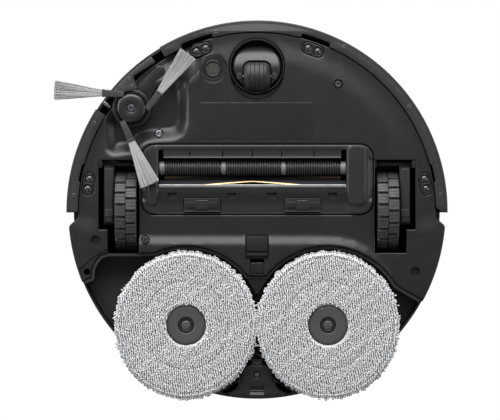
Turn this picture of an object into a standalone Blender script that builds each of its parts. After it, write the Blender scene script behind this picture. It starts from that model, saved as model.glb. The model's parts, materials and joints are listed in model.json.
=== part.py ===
"""Robot vacuum with a swing-out side brush, twin rollers and two lifting, spinning mop pads.

Metres, +Z up, front towards -Y. The robot stands on its two drive wheels and its caster at z = 0.
Each object is one physical piece. Pieces that move have their origin on their joint's axis.
"""

import math

import bmesh
import bpy

# Overall body
BUMPER_RADIUS = 0.1750
REAR_RADIUS = BUMPER_RADIUS - 0.0016
BODY_HEIGHT = 0.0800
GROUND_CLEARANCE = 0.0110
WALL = 0.0025
GAP = 0.0003
# The box round the robot is centred on the origin, and the side brush makes it uneven
BODY_X = 0.00537
BODY_Y = 0.0008

# Lower chassis
BELLY_THICKNESS = 0.0029
RIM_STEP = 0.0026
RIM_THICKNESS = 0.0030
BELLY_INSET = 0.0136
STEP_FRONT_Y = 0.0060
STEP_REAR_Y = 0.0140
REAR_BELLY_DROP = 0.0035
REAR_BELLY_FRONT_Y = 0.0312

# Bumper
BUMPER_WALL = 0.0024
BUMPER_STANDOFF = 0.0085
BUMPER_TRAVEL = 0.0040
BUMPER_LIP_WIDTH = 0.0096
BUMPER_LIP_THICKNESS = 0.0018
BUMPER_LIP_LIFT = 0.0005
BUMPER_END_ANGLE = 0.46
BUMPER_NOTCH_ANGLES = (-147.7, -120.8)
WINDOW_HALF_ANGLE = 20.0
WINDOW_BOTTOM = 0.0450
WINDOW_HEIGHT = 0.0200

# Drive wheels
WHEEL_RADIUS = 0.0367
WHEEL_WIDTH = 0.0197
WHEEL_TRACK_HALF = 0.12035
TYRE_THICKNESS = 0.0054
WHEEL_AXLE_RADIUS = 0.0040
WHEEL_AXLE_LENGTH = 0.0058
ARM_PIVOT_Y = -0.0436
ARM_PIVOT_Z = 0.0240
ARM_WIDTH = 0.0108
ARM_REAR_Y = 0.0130
ARM_BARREL_RADIUS = 0.00275
HINGE_PIN_RADIUS = 0.0015
WELL_FRONT_Y = -0.0468
WELL_STEP_Y = 0.0170
WELL_REAR_Y = 0.0385
WELL_INNER_X = 0.1082
WELL_OUTER_X = 0.1454
WELL_REAR_OUTER_X = 0.1371

# Caster
CASTER_Y = -0.1330
CASTER_TRAIL = 0.0096
CASTER_WHEEL_RADIUS = 0.0135
CASTER_WHEEL_WIDTH = 0.0248
CASTER_DOME_RADIUS = 0.0220
CASTER_SOCKET_RADIUS = 0.0256
CASTER_SOCKET_WALL = 0.0019
CASTER_HEIGHT = 0.0336
CASTER_STEM_RADIUS = 0.0049
CASTER_AXLE_RADIUS = 0.0015

# The ears that hold each arm's hinge pin, as spans of |X| from the inside out
EAR_SPANS = ((WELL_INNER_X - 0.0008, WELL_INNER_X + 0.0016), (0.1424, 0.1470))

# The ribbed slider behind the roller bay
SERVICE_HALF_WIDTH = 0.0062
SERVICE_FRONT_Y = 0.0472
SERVICE_REAR_Y = 0.0573
SERVICE_TRAVEL = 0.0030

# Roller bay
GUARD_LEFT_X = -0.1060
GUARD_RIGHT_X = 0.1064
GUARD_FRONT_Y = -0.0610
GUARD_REAR_Y = 0.0032
GUARD_CORNER = 0.0120
GUARD_DROP = 0.0030
GUARD_THICKNESS = 0.0026
GUARD_RIM_HEIGHT = 0.0060
MOUTH_LEFT_X = -0.0903
MOUTH_RIGHT_X = 0.0821
MOUTH_FRONT_Y = -0.0477
MOUTH_REAR_Y = -0.0214
ROLLER_LEFT_X = -0.0900
ROLLER_RIGHT_X = 0.0820
ROLLER_END_GAP = 0.0005
ROLLER_SHAFT_RADIUS = 0.0025
ROLLER_SHAFT_REACH = 0.0023
COMB_Y = -0.0394
COMB_Z = GROUND_CLEARANCE + 0.0059
COMB_RADIUS = 0.0074
RUBBER_Y = -0.0205
RUBBER_Z = GROUND_CLEARANCE + 0.0115
RUBBER_RADIUS = 0.0115
HOUSING_HEIGHT = 0.0317
DUCT_HALF_WIDTH = 0.0150
DUCT_FRONT_Y = -0.0400
DUCT_REAR_Y = -0.0200
LATCH_CENTRES_X = (-0.0504, 0.0418)
LATCH_WIDTH = 0.0119
LATCH_RECESS_HALF = 0.0170
LATCH_FRONT_Y = -0.0100
LATCH_REAR_Y = -0.0009
LATCH_TRAVEL = 0.0020

# Side brush
SWING_PIVOT = (-0.0900, -0.1285)
BRUSH_HUB = (-0.1151, -0.0940)
SWING_ARM_BOTTOM = 0.0120
SWING_ARM_THICKNESS = 0.0100
SWING_PIVOT_RADIUS = 0.0040
BRUSH_RING_RADIUS = 0.0179
BRUSH_HUB_RADIUS = 0.0133
BRUSH_HUB_HEIGHT = 0.0075
BRUSH_SLEEVE_REACH = 0.0300
BRUSH_SLEEVE_WIDTH = 0.0068
BRUSH_SLEEVE_THICKNESS = 0.0038
BRUSH_REACH = 0.0720
BRUSH_ROOT_WIDTH = 0.0045
BRUSH_TIP_WIDTH = 0.0160
BRUSH_ROOT_ANGLES = (207.7, -29.3, 90.0)
BRUSH_SWEEP_ANGLE = 14.3
BRUSH_SCREW_RADIUS = 0.0035
FLANGE_RADIUS = BUMPER_RADIUS - 0.0028
FLANGE_DEPTH = 0.0060
FLANGE_ANGLES = (-140.4, -124.5)
SCOOP_ROOF = 0.0225

# Mops
MOP_X = 0.0649
MOP_Y = 0.1044
MOP_PAD_RADIUS = 0.0644
MOP_BAY_RADIUS = 0.0695
MOP_HUB_RADIUS = 0.0177
MOP_PLATE_RADIUS = 0.0620
MOP_PAD_BOTTOM = 0.0004
MOP_PAD_THICKNESS = 0.0078
MOP_PLATE_THICKNESS = 0.0030
MOP_BOSS_RADIUS = 0.0080
MOP_BOSS_HEIGHT = 0.0020
MOP_LIFT = 0.0105
MOP_MOTOR_RADIUS = 0.0140
MOP_MOTOR_HEIGHT = 0.0247
MOP_SHAFT_RADIUS = 0.0040
MOP_ARM_LENGTH = 0.0550
MOP_ARM_ANGLE = 64.4
MOP_ARM_SWING = 32.0
MOP_ARM_THICKNESS = 0.0040
MOP_ARM_CLEARANCE = 0.0020
MOP_PIVOT_RADIUS = 0.0050
RECESS_DEPTH = 0.0066
ROOF_THICKNESS = 0.0025
ROOF_CLEARANCE = 0.0030

# Top
COVER_RADIUS = 0.1400
COVER_HEIGHT = 0.0043
TURRET_Y = 0.0450
TURRET_RADIUS = 0.0420
TURRET_HEIGHT = 0.0240
TURRET_BASE_HEIGHT = 0.0077
TURRET_HEAD_RADIUS = 0.0300
TURRET_CAP_HEIGHT = 0.0060
TURRET_POST_RADIUS = 0.0028
BUTTON_RADIUS = 0.0050
BUTTON_X = 0.0140
BUTTON_Y = -0.1520
BUTTON_HEIGHT = 0.0036
BIN_HALF_WIDTH = 0.0700
BIN_FRONT_Y = -0.0850
BIN_REAR_Y = -0.0050
BIN_DEPTH = 0.0290
BIN_WALL = 0.0018
BIN_FLANGE = 0.0030

# Inside the body
BATTERY_LEFT_X = -0.0580
BATTERY_RIGHT_X = 0.0660
BATTERY_REAR_Y = -0.0660
BOARD_HALF_WIDTH = 0.0500
BOARD_FRONT_Y = -0.1280
BOARD_REAR_Y = -0.0890
BOARD_THICKNESS = 0.0016
BOARD_LIFT = 0.0030
CHIP_PLACES_X = (-0.0300, 0.0000, 0.0300)
CHIP_HALF_WIDTH = 0.0070
STANDOFF_X = 0.0450
STANDOFF_HALF_WIDTH = 0.0025
FAN_PLACE = (0.0980, -0.0880)
FAN_RADIUS = 0.0260
FAN_HEIGHT = 0.0380
FAN_EYE_RADIUS = 0.0140
IMPELLER_RADIUS = 0.0205
IMPELLER_HUB_RADIUS = 0.0060
IMPELLER_HEIGHT = 0.0170
IMPELLER_BLADE_HEIGHT = 0.0120
IMPELLER_BLADES = 8
TANK_HALF_WIDTH = 0.0420
TANK_FRONT_Y = 0.0960
TANK_REAR_Y = 0.1560
PUMP_HALF_WIDTH = 0.0140
PUMP_FRONT_Y = 0.0700
PUMP_REAR_Y = 0.0930
PUMP_HEIGHT = 0.0200
GEAR_MOTOR_RADIUS = 0.0110
SIDE_MOTOR_PLACE = (-0.0815, -0.1145)
SIDE_MOTOR_HEIGHT = 0.0227

# Sensors and the label under the robot
CLIFF_LENGTH = 0.0205
CLIFF_WIDTH = 0.0110
CLIFF_HEIGHT = 0.0030
CLIFF_PLACES = {
    "cliff_sensor_front_left": (-0.0514, -0.1481),
    "cliff_sensor_front_right": (0.0514, -0.1481),
    "cliff_sensor_side_left": (-0.1547, -0.0248),
    "cliff_sensor_side_right": (0.1547, -0.0248),
}
CARPET_SENSOR = (-0.0404, -0.1307)
CARPET_SENSOR_RADIUS = 0.0082
LABEL_CENTRE = (-0.0005, -0.0825)
LABEL_SIZE = (0.1050, 0.0350)

# Levels that follow from the sizes above
BELLY_Z = GROUND_CLEARANCE
RIM_Z = BELLY_Z + RIM_STEP
FLOOR_TOP = RIM_Z + RIM_THICKNESS
DECK_BOTTOM = FLOOR_TOP + GAP
DECK_TOP = BODY_HEIGHT
DECK_UNDERSIDE = DECK_TOP - WALL
FRONT_WALL_RADIUS = BUMPER_RADIUS - BUMPER_WALL - BUMPER_STANDOFF
REAR_BELLY_Z = BELLY_Z - REAR_BELLY_DROP
MOP_PLATE_Z = MOP_PAD_BOTTOM + MOP_PAD_THICKNESS + GAP
MOP_BOSS_TOP = MOP_PLATE_Z + MOP_PLATE_THICKNESS + MOP_BOSS_HEIGHT
MOP_ARM_Z = MOP_BOSS_TOP + MOP_LIFT + MOP_ARM_CLEARANCE
ROOF_Z = MOP_ARM_Z + MOP_ARM_THICKNESS + ROOF_CLEARANCE
MOP_SIDE_CLEAR_Z = MOP_BOSS_TOP + MOP_LIFT + 0.0010
SCOOP_TOP = SCOOP_ROOF + WALL
SERVICE_TOP = BELLY_Z - 0.0006
GUARD_Z = BELLY_Z - GUARD_DROP
GUARD_TOP = GUARD_Z + GUARD_RIM_HEIGHT
HOUSING_TOP = GUARD_TOP + GAP + HOUSING_HEIGHT
BIN_BOTTOM = DECK_TOP - BIN_DEPTH
MOP_PIVOT = (
    -MOP_X - MOP_ARM_LENGTH * math.cos(math.radians(MOP_ARM_ANGLE)),
    MOP_Y - MOP_ARM_LENGTH * math.sin(math.radians(MOP_ARM_ANGLE)),
)

# How finely round shapes are divided
BODY_STEPS = 32
LARGE_STEPS = 32
MEDIUM_STEPS = 20
SMALL_STEPS = 12

PLASTIC = (0.030, 0.031, 0.034)
DARK = (0.012, 0.012, 0.013)
GREY = (0.220, 0.225, 0.235)


# ---------------------------------------------------------------- outlines


def polar(radius, degrees, centre=(0.0, 0.0)):
    """The point at this radius and angle from a centre."""
    turn = math.radians(degrees)
    return centre[0] + radius * math.cos(turn), centre[1] + radius * math.sin(turn)


def arc(radius, start, end, steps, centre=(0.0, 0.0)):
    """Points along an arc, both ends included."""
    return [polar(radius, start + (end - start) * i / steps, centre) for i in range(steps + 1)]


def circle(radius, steps=MEDIUM_STEPS, centre=(0.0, 0.0)):
    return arc(radius, 0.0, 360.0, steps, centre)[:-1]


def rectangle(low_x, low_y, high_x, high_y):
    return [(low_x, low_y), (high_x, low_y), (high_x, high_y), (low_x, high_y)]


def rounded_rectangle(low_x, low_y, high_x, high_y, radius, steps=5):
    """A rectangle with round corners, counterclockwise."""
    corners = [
        ((high_x - radius, low_y + radius), -90.0),
        ((high_x - radius, high_y - radius), 0.0),
        ((low_x + radius, high_y - radius), 90.0),
        ((low_x + radius, low_y + radius), 180.0),
    ]
    return [p for centre, start in corners for p in arc(radius, start, start + 90.0, steps, centre)]


def sector(inner, outer, start, end, steps):
    """A piece of a ring between two angles, counterclockwise."""
    return arc(outer, start, end, steps) + arc(inner, end, start, steps)


def capsule(centre, length, width, degrees, steps=6):
    """A slot with round ends, its long axis at an angle."""
    reach = (length - width) / 2
    head = polar(reach, degrees, centre)
    tail = polar(-reach, degrees, centre)
    front = arc(width / 2, degrees - 90.0, degrees + 90.0, steps, head)
    return front + arc(width / 2, degrees + 90.0, degrees + 270.0, steps, tail)


def grown(points, distance):
    """A counterclockwise outline moved outwards by a distance, with mitred corners."""
    moved = []
    for i, (x, y) in enumerate(points):
        x0, y0 = points[i - 1]
        x1, y1 = points[(i + 1) % len(points)]
        a = math.hypot(x - x0, y - y0)
        b = math.hypot(x1 - x, y1 - y)
        nx, ny = (y - y0) / a + (y1 - y) / b, (x0 - x) / a + (x - x1) / b
        scale = 2.0 * distance / (nx * nx + ny * ny)
        moved.append((x + nx * scale, y + ny * scale))
    return moved


def hull(points):
    """The convex outline round some points, counterclockwise."""
    ordered = sorted(set(points))

    def half(sequence):
        kept = []
        for p in sequence:
            while len(kept) > 1:
                (ax, ay), (bx, by) = kept[-2:]
                if (bx - ax) * (p[1] - ay) - (by - ay) * (p[0] - ax) > 1e-12:
                    break
                kept.pop()
            kept.append(p)
        return kept[:-1]

    return half(ordered) + half(reversed(ordered))


def shell_outline(front_radius, rear_radius, steps=BODY_STEPS):
    """The body seen from above: a smaller arc in front, behind the bumper, and the full one behind it."""
    start = math.degrees(math.asin(STEP_REAR_Y / rear_radius))
    front = arc(front_radius, -180.0, 0.0, steps)
    rear = arc(rear_radius, start, 180.0 - start, steps)
    return front + [(front_radius, STEP_FRONT_Y)] + rear + [(-front_radius, STEP_FRONT_Y)]


def mop_bay_outline():
    """The open space round both mop pads, with room on the left for the pad that swings out."""
    left, right = (-MOP_X, MOP_Y), (MOP_X, MOP_Y)
    front_y = MOP_Y - MOP_BAY_RADIUS
    tip_angle = math.degrees(math.acos((MOP_X - 0.0098) / MOP_BAY_RADIUS))
    recess = [
        (-0.1800, 0.0760),
        (-0.1495, 0.0633),
        (-0.1486, 0.0541),
        (-0.1458, 0.0477),
        (-0.1422, 0.0436),
        (-0.1367, front_y + RECESS_DEPTH),
        (-0.1073, front_y + RECESS_DEPTH),
    ]
    left_arc = arc(MOP_BAY_RADIUS, -113.4, -tip_angle, 14, left)
    right_arc = arc(MOP_BAY_RADIUS, tip_angle - 180.0, -29.4, 22, right)
    outside = [(0.1500, 0.0846), (0.1850, 0.1045), (0.1850, 0.2200), (-0.1850, 0.2200)]
    return recess + left_arc + right_arc + outside


def scoop_outline():
    """The hollow under the body in which the side brush's arm swings, open towards the outside."""
    return [
        (-0.0665, -0.1460),
        (-0.0640, -0.0760),
        (-0.1120, -0.0640),
        (-0.1380, -0.0570),
        (-0.1490, -0.0830),
        (-0.1720, -0.0960),
        (-0.1550, -0.1600),
        (-0.0740, -0.1760),
    ]


# ---------------------------------------------------------------- objects


def clear_scene():
    for obj in list(bpy.data.objects):
        bpy.data.objects.remove(obj, do_unlink=True)


def new_collection(name):
    made = bpy.data.collections.new(name)
    bpy.context.scene.collection.children.link(made)
    return made


class Workshop:
    """Makes objects, with every place given in the body's own frame."""

    def __init__(self):
        self.parts = new_collection("robot_vacuum")
        self.cutters = new_collection("cutters")
        self.body = bpy.data.objects.new("robot_frame", None)
        self.body.location = (BODY_X, BODY_Y, 0.0)
        self.parts.objects.link(self.body)

    def add(self, name, mesh, place=(0.0, 0.0, 0.0), turn=(0.0, 0.0, 0.0)):
        obj = bpy.data.objects.new(name, mesh)
        obj.parent = self.body
        obj.location = place
        obj.rotation_euler = turn
        self.parts.objects.link(obj)
        return obj

    def box(self, name, low, high, bevel=0.0, origin=None):
        """A box between two corners, its edges rounded if a bevel is given."""
        bm = bmesh.new()
        bmesh.ops.create_cube(bm, size=1.0)
        at = origin or [(a + b) / 2 for a, b in zip(low, high)]
        for v in bm.verts:
            v.co = [a + (b - a) * (c + 0.5) - o for a, b, c, o in zip(low, high, v.co, at)]
        mesh = bpy.data.meshes.new(name)
        bm.to_mesh(mesh)
        bm.free()
        obj = self.add(name, mesh, at)
        if bevel:
            rounded = obj.modifiers.new("edges", "BEVEL")
            rounded.width = bevel
            rounded.segments = 2
        return obj

    def prism(self, name, outlines, low, high, origin=(0.0, 0.0, 0.0)):
        """Flat outlines filled and made as thick as low to high. An outline inside another is a hole."""
        curve = bpy.data.curves.new(name, "CURVE")
        curve.dimensions = "2D"
        curve.fill_mode = "BOTH"
        curve.extrude = (high - low) / 2
        for points in outlines:
            spline = curve.splines.new("POLY")
            spline.points.add(len(points) - 1)
            for target, (x, y) in zip(spline.points, points):
                target.co = (x - origin[0], y - origin[1], 0.0, 1.0)
            spline.use_cyclic_u = True
        flat = bpy.data.objects.new(name + "_outline", curve)
        self.parts.objects.link(flat)
        graph = bpy.context.evaluated_depsgraph_get()
        mesh = bpy.data.meshes.new_from_object(flat.evaluated_get(graph))
        mesh.name = name
        bpy.data.objects.remove(flat, do_unlink=True)
        bm = bmesh.new()
        bm.from_mesh(mesh)
        bmesh.ops.remove_doubles(bm, verts=bm.verts, dist=1e-6)
        bmesh.ops.translate(bm, verts=bm.verts, vec=(0.0, 0.0, (low + high) / 2 - origin[2]))
        bmesh.ops.recalc_face_normals(bm, faces=bm.faces)
        bm.to_mesh(mesh)
        bm.free()
        return self.add(name, mesh, origin)

    def turned(self, name, profile, origin, steps=MEDIUM_STEPS, along="Z", ring=False):
        """A profile of (radius, height) points turned round an axis, listed down its outer side."""
        mesh = bpy.data.meshes.new(name)
        edges = [(i, i + 1) for i in range(len(profile) - 1)]
        if ring:
            edges.append((len(profile) - 1, 0))
        mesh.from_pydata([(r, 0.0, z) for r, z in profile], edges, [])
        turn = (0.0, math.pi / 2, 0.0) if along == "X" else (0.0, 0.0, 0.0)
        obj = self.add(name, mesh, origin, turn)
        screw = obj.modifiers.new("turn", "SCREW")
        screw.steps = steps
        screw.render_steps = steps
        screw.use_merge_vertices = True
        screw.merge_threshold = 1e-5
        screw.use_smooth_shade = True
        return obj

    def rod(self, name, radius, low, high, centre, steps=MEDIUM_STEPS, along="Z"):
        """A plain round bar along Z or X. The centre is (x, y) for Z and (y, z) for X."""
        half = (high - low) / 2
        middle = (low + high) / 2
        place = (centre[0], centre[1], middle) if along == "Z" else (middle, centre[0], centre[1])
        profile = [(0.0, half), (radius, half), (radius, -half), (0.0, -half)]
        return self.turned(name, profile, place, steps, along)

    def use(self, obj, tool, operation):
        """Cuts a tool from an object, joins it to it or keeps what they share."""
        self.parts.objects.unlink(tool)
        self.cutters.objects.link(tool)
        tool.hide_render = True
        tool.display_type = "WIRE"
        step = obj.modifiers.new(tool.name, "BOOLEAN")
        step.operation = operation
        step.object = tool
        return obj

    def cut(self, obj, tool):
        return self.use(obj, tool, "DIFFERENCE")

    def join(self, obj, tool):
        return self.use(obj, tool, "UNION")

    def paint(self, obj, colour, roughness=0.5, metallic=0.0):
        """Gives a piece its own material and shades it smooth where its faces meet gently."""
        material = bpy.data.materials.new(obj.name)
        material.use_nodes = True
        shader = material.node_tree.nodes["Principled BSDF"]
        shader.inputs["Base Color"].default_value = (*colour, 1.0)
        shader.inputs["Roughness"].default_value = roughness
        shader.inputs["Metallic"].default_value = metallic
        obj.data.materials.append(material)
        obj.data.shade_smooth()
        obj.data.set_sharp_from_angle(angle=math.radians(35.0))


# ---------------------------------------------------------------- chassis


def well_outline(side):
    """The opening that a drive wheel comes through, on the +X side or mirrored."""
    points = [
        (WELL_INNER_X, WELL_FRONT_Y),
        (WELL_OUTER_X, WELL_FRONT_Y),
        (WELL_OUTER_X, WELL_STEP_Y),
        (WELL_REAR_OUTER_X, WELL_STEP_Y),
        (WELL_REAR_OUTER_X, WELL_REAR_Y),
        (WELL_INNER_X, WELL_REAR_Y),
    ]
    return points if side > 0 else [(-x, y) for x, y in reversed(points)]


def cliff_outline(place, growth=0.0):
    """A cliff sensor's capsule, which lies along the rim."""
    along = math.degrees(math.atan2(place[1], place[0])) + 90.0
    return capsule(place, CLIFF_LENGTH + 2 * growth, CLIFF_WIDTH + 2 * growth, along)


def base_plate(shop):
    """The lower chassis: a raised rim, a lower belly and every opening under the robot."""
    rim = shell_outline(FRONT_WALL_RADIUS, REAR_RADIUS)
    plate = shop.prism("base_plate", [rim], RIM_Z, FLOOR_TOP)
    belly = shell_outline(FRONT_WALL_RADIUS - BELLY_INSET, REAR_RADIUS - WALL)
    shop.join(plate, shop.prism("belly", [belly], BELLY_Z, BELLY_Z + BELLY_THICKNESS))
    rear_belly = [
        (-0.1073, REAR_BELLY_FRONT_Y),
        (0.1070, REAR_BELLY_FRONT_Y),
        (0.1180, 0.0450),
        (0.1240, 0.0620),
        (0.1240, 0.0850),
        (-0.1073, 0.0850),
    ]
    rear_top = BELLY_Z + WALL / 2
    shop.join(plate, shop.prism("rear_belly", [rear_belly], REAR_BELLY_Z, rear_top))
    scoop = scoop_outline()
    shell = shop.prism("scoop_shell", [grown(scoop, WALL)], BELLY_Z + WALL / 5, SCOOP_TOP)
    within = [circle(FRONT_WALL_RADIUS - WALL / 5, 2 * BODY_STEPS)]
    shop.use(shell, shop.prism("scoop_disc", within, 0.0, BODY_HEIGHT), "INTERSECT")
    pressed = [circle(BUMPER_RADIUS - BUMPER_LIP_WIDTH - 2 * GAP, 2 * BODY_STEPS, (0.0, BUMPER_TRAVEL))]
    shop.use(shell, shop.prism("pressed_bumper_disc", pressed, 0.0, BODY_HEIGHT), "INTERSECT")
    shop.join(plate, shell)
    shop.cut(plate, shop.prism("scoop_space", [scoop], 0.0, SCOOP_ROOF))
    pivot_hole = SWING_PIVOT_RADIUS + GAP
    shop.cut(plate, shop.rod("pivot_hole", pivot_hole, 0.0200, 0.0300, SWING_PIVOT))
    bay = grown(mop_bay_outline(), WALL + GAP)
    shop.cut(plate, shop.prism("mop_bay_opening", [bay], 0.0, BODY_HEIGHT / 2))
    guard = guard_outline(GAP + 0.0001)
    shop.cut(plate, shop.prism("roller_bay_opening", [guard], 0.0, 0.0300))
    for side in (-1, 1):
        well = shop.prism(f"wheel_well_{side}", [well_outline(side)], 0.0, 0.0300)
        shop.cut(plate, well)
    socket = CASTER_SOCKET_RADIUS + CASTER_SOCKET_WALL + GAP
    shop.cut(plate, shop.rod("caster_opening", socket, 0.0, 0.0300, (0.0, CASTER_Y), LARGE_STEPS))
    for name, place in CLIFF_PLACES.items():
        opening = shop.prism(name + "_opening", [cliff_outline(place, GAP)], 0.0, 0.0300)
        shop.cut(plate, opening)
    hole = CARPET_SENSOR_RADIUS + GAP
    shop.cut(plate, shop.rod("carpet_opening", hole, 0.0, 0.0300, CARPET_SENSOR))
    pocket_low = (-SERVICE_HALF_WIDTH - GAP, SERVICE_FRONT_Y - SERVICE_TRAVEL - GAP, 0.0)
    pocket_high = (SERVICE_HALF_WIDTH + GAP, SERVICE_REAR_Y + GAP, SERVICE_TOP + GAP)
    shop.cut(plate, shop.box("latch_pocket", pocket_low, pocket_high))
    for side in (-1, 1):
        for number, (inner, outer) in enumerate(EAR_SPANS):
            low_x, high_x = sorted((side * inner, side * outer))
            low = (low_x, WELL_FRONT_Y - 0.0022, RIM_Z + 0.0002)
            high = (high_x, ARM_PIVOT_Y + 0.0041, ARM_PIVOT_Z + 0.0040)
            shop.join(plate, shop.box(f"ear_{side}_{number}", low, high))
        reach = sorted((side * (EAR_SPANS[0][0] - 0.0010), side * (EAR_SPANS[1][1] + 0.0010)))
        bore = shop.rod(
            f"ear_bore_{side}",
            HINGE_PIN_RADIUS + GAP,
            reach[0],
            reach[1],
            (ARM_PIVOT_Y, ARM_PIVOT_Z),
            SMALL_STEPS,
            "X",
        )
        shop.cut(plate, bore)
    shop.paint(plate, PLASTIC, 0.55)


def service_latch(shop):
    """The ribbed slider behind the roller bay."""
    low = (-SERVICE_HALF_WIDTH, SERVICE_FRONT_Y, REAR_BELLY_Z)
    high = (SERVICE_HALF_WIDTH, SERVICE_REAR_Y, SERVICE_TOP)
    latch = shop.box("service_latch", low, high, 0.0004)
    shop.paint(latch, PLASTIC, 0.5)


def mop_bay_frame(shop):
    """The roof and walls over the mops, with the island between them at the back."""
    bay = mop_bay_outline()
    inside = REAR_RADIUS - WALL - GAP
    roof_top = ROOF_Z + ROOF_THICKNESS
    frame = shop.prism("mop_bay_frame", [grown(bay, WALL)], BELLY_Z, roof_top)
    shop.use(frame, shop.prism("mop_bay_disc", [circle(inside, 2 * BODY_STEPS)], 0.0, 0.1), "INTERSECT")
    shop.cut(frame, shop.prism("mop_bay_space", [bay], 0.0, ROOF_Z))
    right = arc(MOP_BAY_RADIUS, 153.0, 118.0, 10, (MOP_X, MOP_Y))
    left = [(-x, y) for x, y in reversed(right)]
    corner = math.degrees(math.atan2(right[-1][1], right[-1][0])) + 0.4
    back = arc(inside - 0.0008, corner, 180.0 - corner, 10)
    island = shop.prism("island", [right + back + left], BELLY_Z + 0.0010, ROOF_Z + WALL / 2)
    shop.join(frame, island)
    motor_room = MOP_MOTOR_RADIUS + 0.0006
    spread = math.degrees(math.asin(motor_room / MOP_ARM_LENGTH)) + 0.3
    start = MOP_ARM_ANGLE - spread
    end = MOP_ARM_ANGLE + MOP_ARM_SWING + spread
    outer = arc(MOP_ARM_LENGTH + motor_room, start, end, 14, MOP_PIVOT)
    inner = arc(MOP_ARM_LENGTH - motor_room, end, start, 10, MOP_PIVOT)
    shop.cut(frame, shop.prism("swing_slot", [outer + inner], 0.0200, 0.0600))
    right_motor = shop.rod("motor_opening", motor_room, 0.0200, 0.0600, (MOP_X, MOP_Y))
    shop.cut(frame, right_motor)
    pivot = shop.rod("mop_pivot_hole", MOP_PIVOT_RADIUS + GAP, 0.0200, 0.0600, MOP_PIVOT)
    shop.cut(frame, pivot)
    shop.paint(frame, PLASTIC, 0.55)


def top_deck(shop):
    """The upper housing: the wall behind the bumper, the wall behind the wheels and the top."""
    outer = shell_outline(FRONT_WALL_RADIUS, REAR_RADIUS)
    deck = shop.prism("top_deck", [outer], DECK_BOTTOM, DECK_UNDERSIDE + WALL / 2)
    hollow = shop.prism("deck_hollow", [grown(outer, -WALL)], 0.0, DECK_UNDERSIDE)
    shop.cut(deck, hollow)
    top = shop.prism("deck_top", [circle(REAR_RADIUS, 2 * BODY_STEPS)], DECK_UNDERSIDE, DECK_TOP)
    shop.join(deck, top)
    bay = grown(mop_bay_outline(), WALL + GAP)
    shop.cut(deck, shop.prism("deck_mop_opening", [bay], 0.0, MOP_SIDE_CLEAR_Z))
    scoop = grown(scoop_outline(), WALL + GAP)
    shop.cut(deck, shop.prism("deck_scoop_opening", [scoop], 0.0, SCOOP_TOP + GAP))
    well_low = (-BIN_HALF_WIDTH - 0.0010, BIN_FRONT_Y - 0.0010, DECK_UNDERSIDE - WALL)
    well_high = (BIN_HALF_WIDTH + 0.0010, BIN_REAR_Y + 0.0010, DECK_TOP + WALL)
    shop.cut(deck, shop.box("bin_opening", well_low, well_high))
    for side in (-1, 1):
        hole = shop.rod(
            f"button_hole_{side}",
            BUTTON_RADIUS + GAP,
            DECK_UNDERSIDE - WALL,
            DECK_TOP + WALL,
            (side * BUTTON_X, BUTTON_Y),
        )
        shop.cut(deck, hole)
    shop.paint(deck, PLASTIC, 0.4)


def bumper(shop):
    """The sprung front shell, notched for the side brush's arm, and its dark sensor window."""
    low = GROUND_CLEARANCE + BUMPER_LIP_LIFT
    high = DECK_UNDERSIDE - 0.0005
    start, end = -180.0 - BUMPER_END_ANGLE, BUMPER_END_ANGLE
    inner = BUMPER_RADIUS - BUMPER_WALL
    wall = shop.prism("bumper", [sector(inner, BUMPER_RADIUS, start, end, BODY_STEPS)], low, high)
    lip_inner = BUMPER_RADIUS - BUMPER_LIP_WIDTH
    lip = sector(lip_inner, inner + BUMPER_WALL / 2, start + 0.05, end - 0.05, BODY_STEPS)
    lip_low = low + 0.0001
    shop.join(wall, shop.prism("bumper_lip", [lip], lip_low, lip_low + BUMPER_LIP_THICKNESS))
    notch = sector(lip_inner - 0.0050, BUMPER_RADIUS * 1.1, *BUMPER_NOTCH_ANGLES, 8)
    shop.cut(wall, shop.prism("brush_notch", [notch], 0.0, SCOOP_ROOF + 0.0015))
    left, right = -90.0 - WINDOW_HALF_ANGLE, -90.0 + WINDOW_HALF_ANGLE
    opening = sector(inner - 0.0050, BUMPER_RADIUS * 1.1, left, right, 16)
    window_top = WINDOW_BOTTOM + WINDOW_HEIGHT
    shop.cut(wall, shop.prism("window_opening", [opening], WINDOW_BOTTOM, window_top))
    shop.paint(wall, PLASTIC, 0.35)
    edge = math.degrees(GAP / BUMPER_RADIUS)
    pane = sector(inner, BUMPER_RADIUS - 0.0002, left + edge, right - edge, 16)
    window = shop.prism("sensor_window", [pane], WINDOW_BOTTOM + GAP, window_top - GAP)
    shop.paint(window, DARK, 0.08)


# ---------------------------------------------------------------- inside the body


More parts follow.
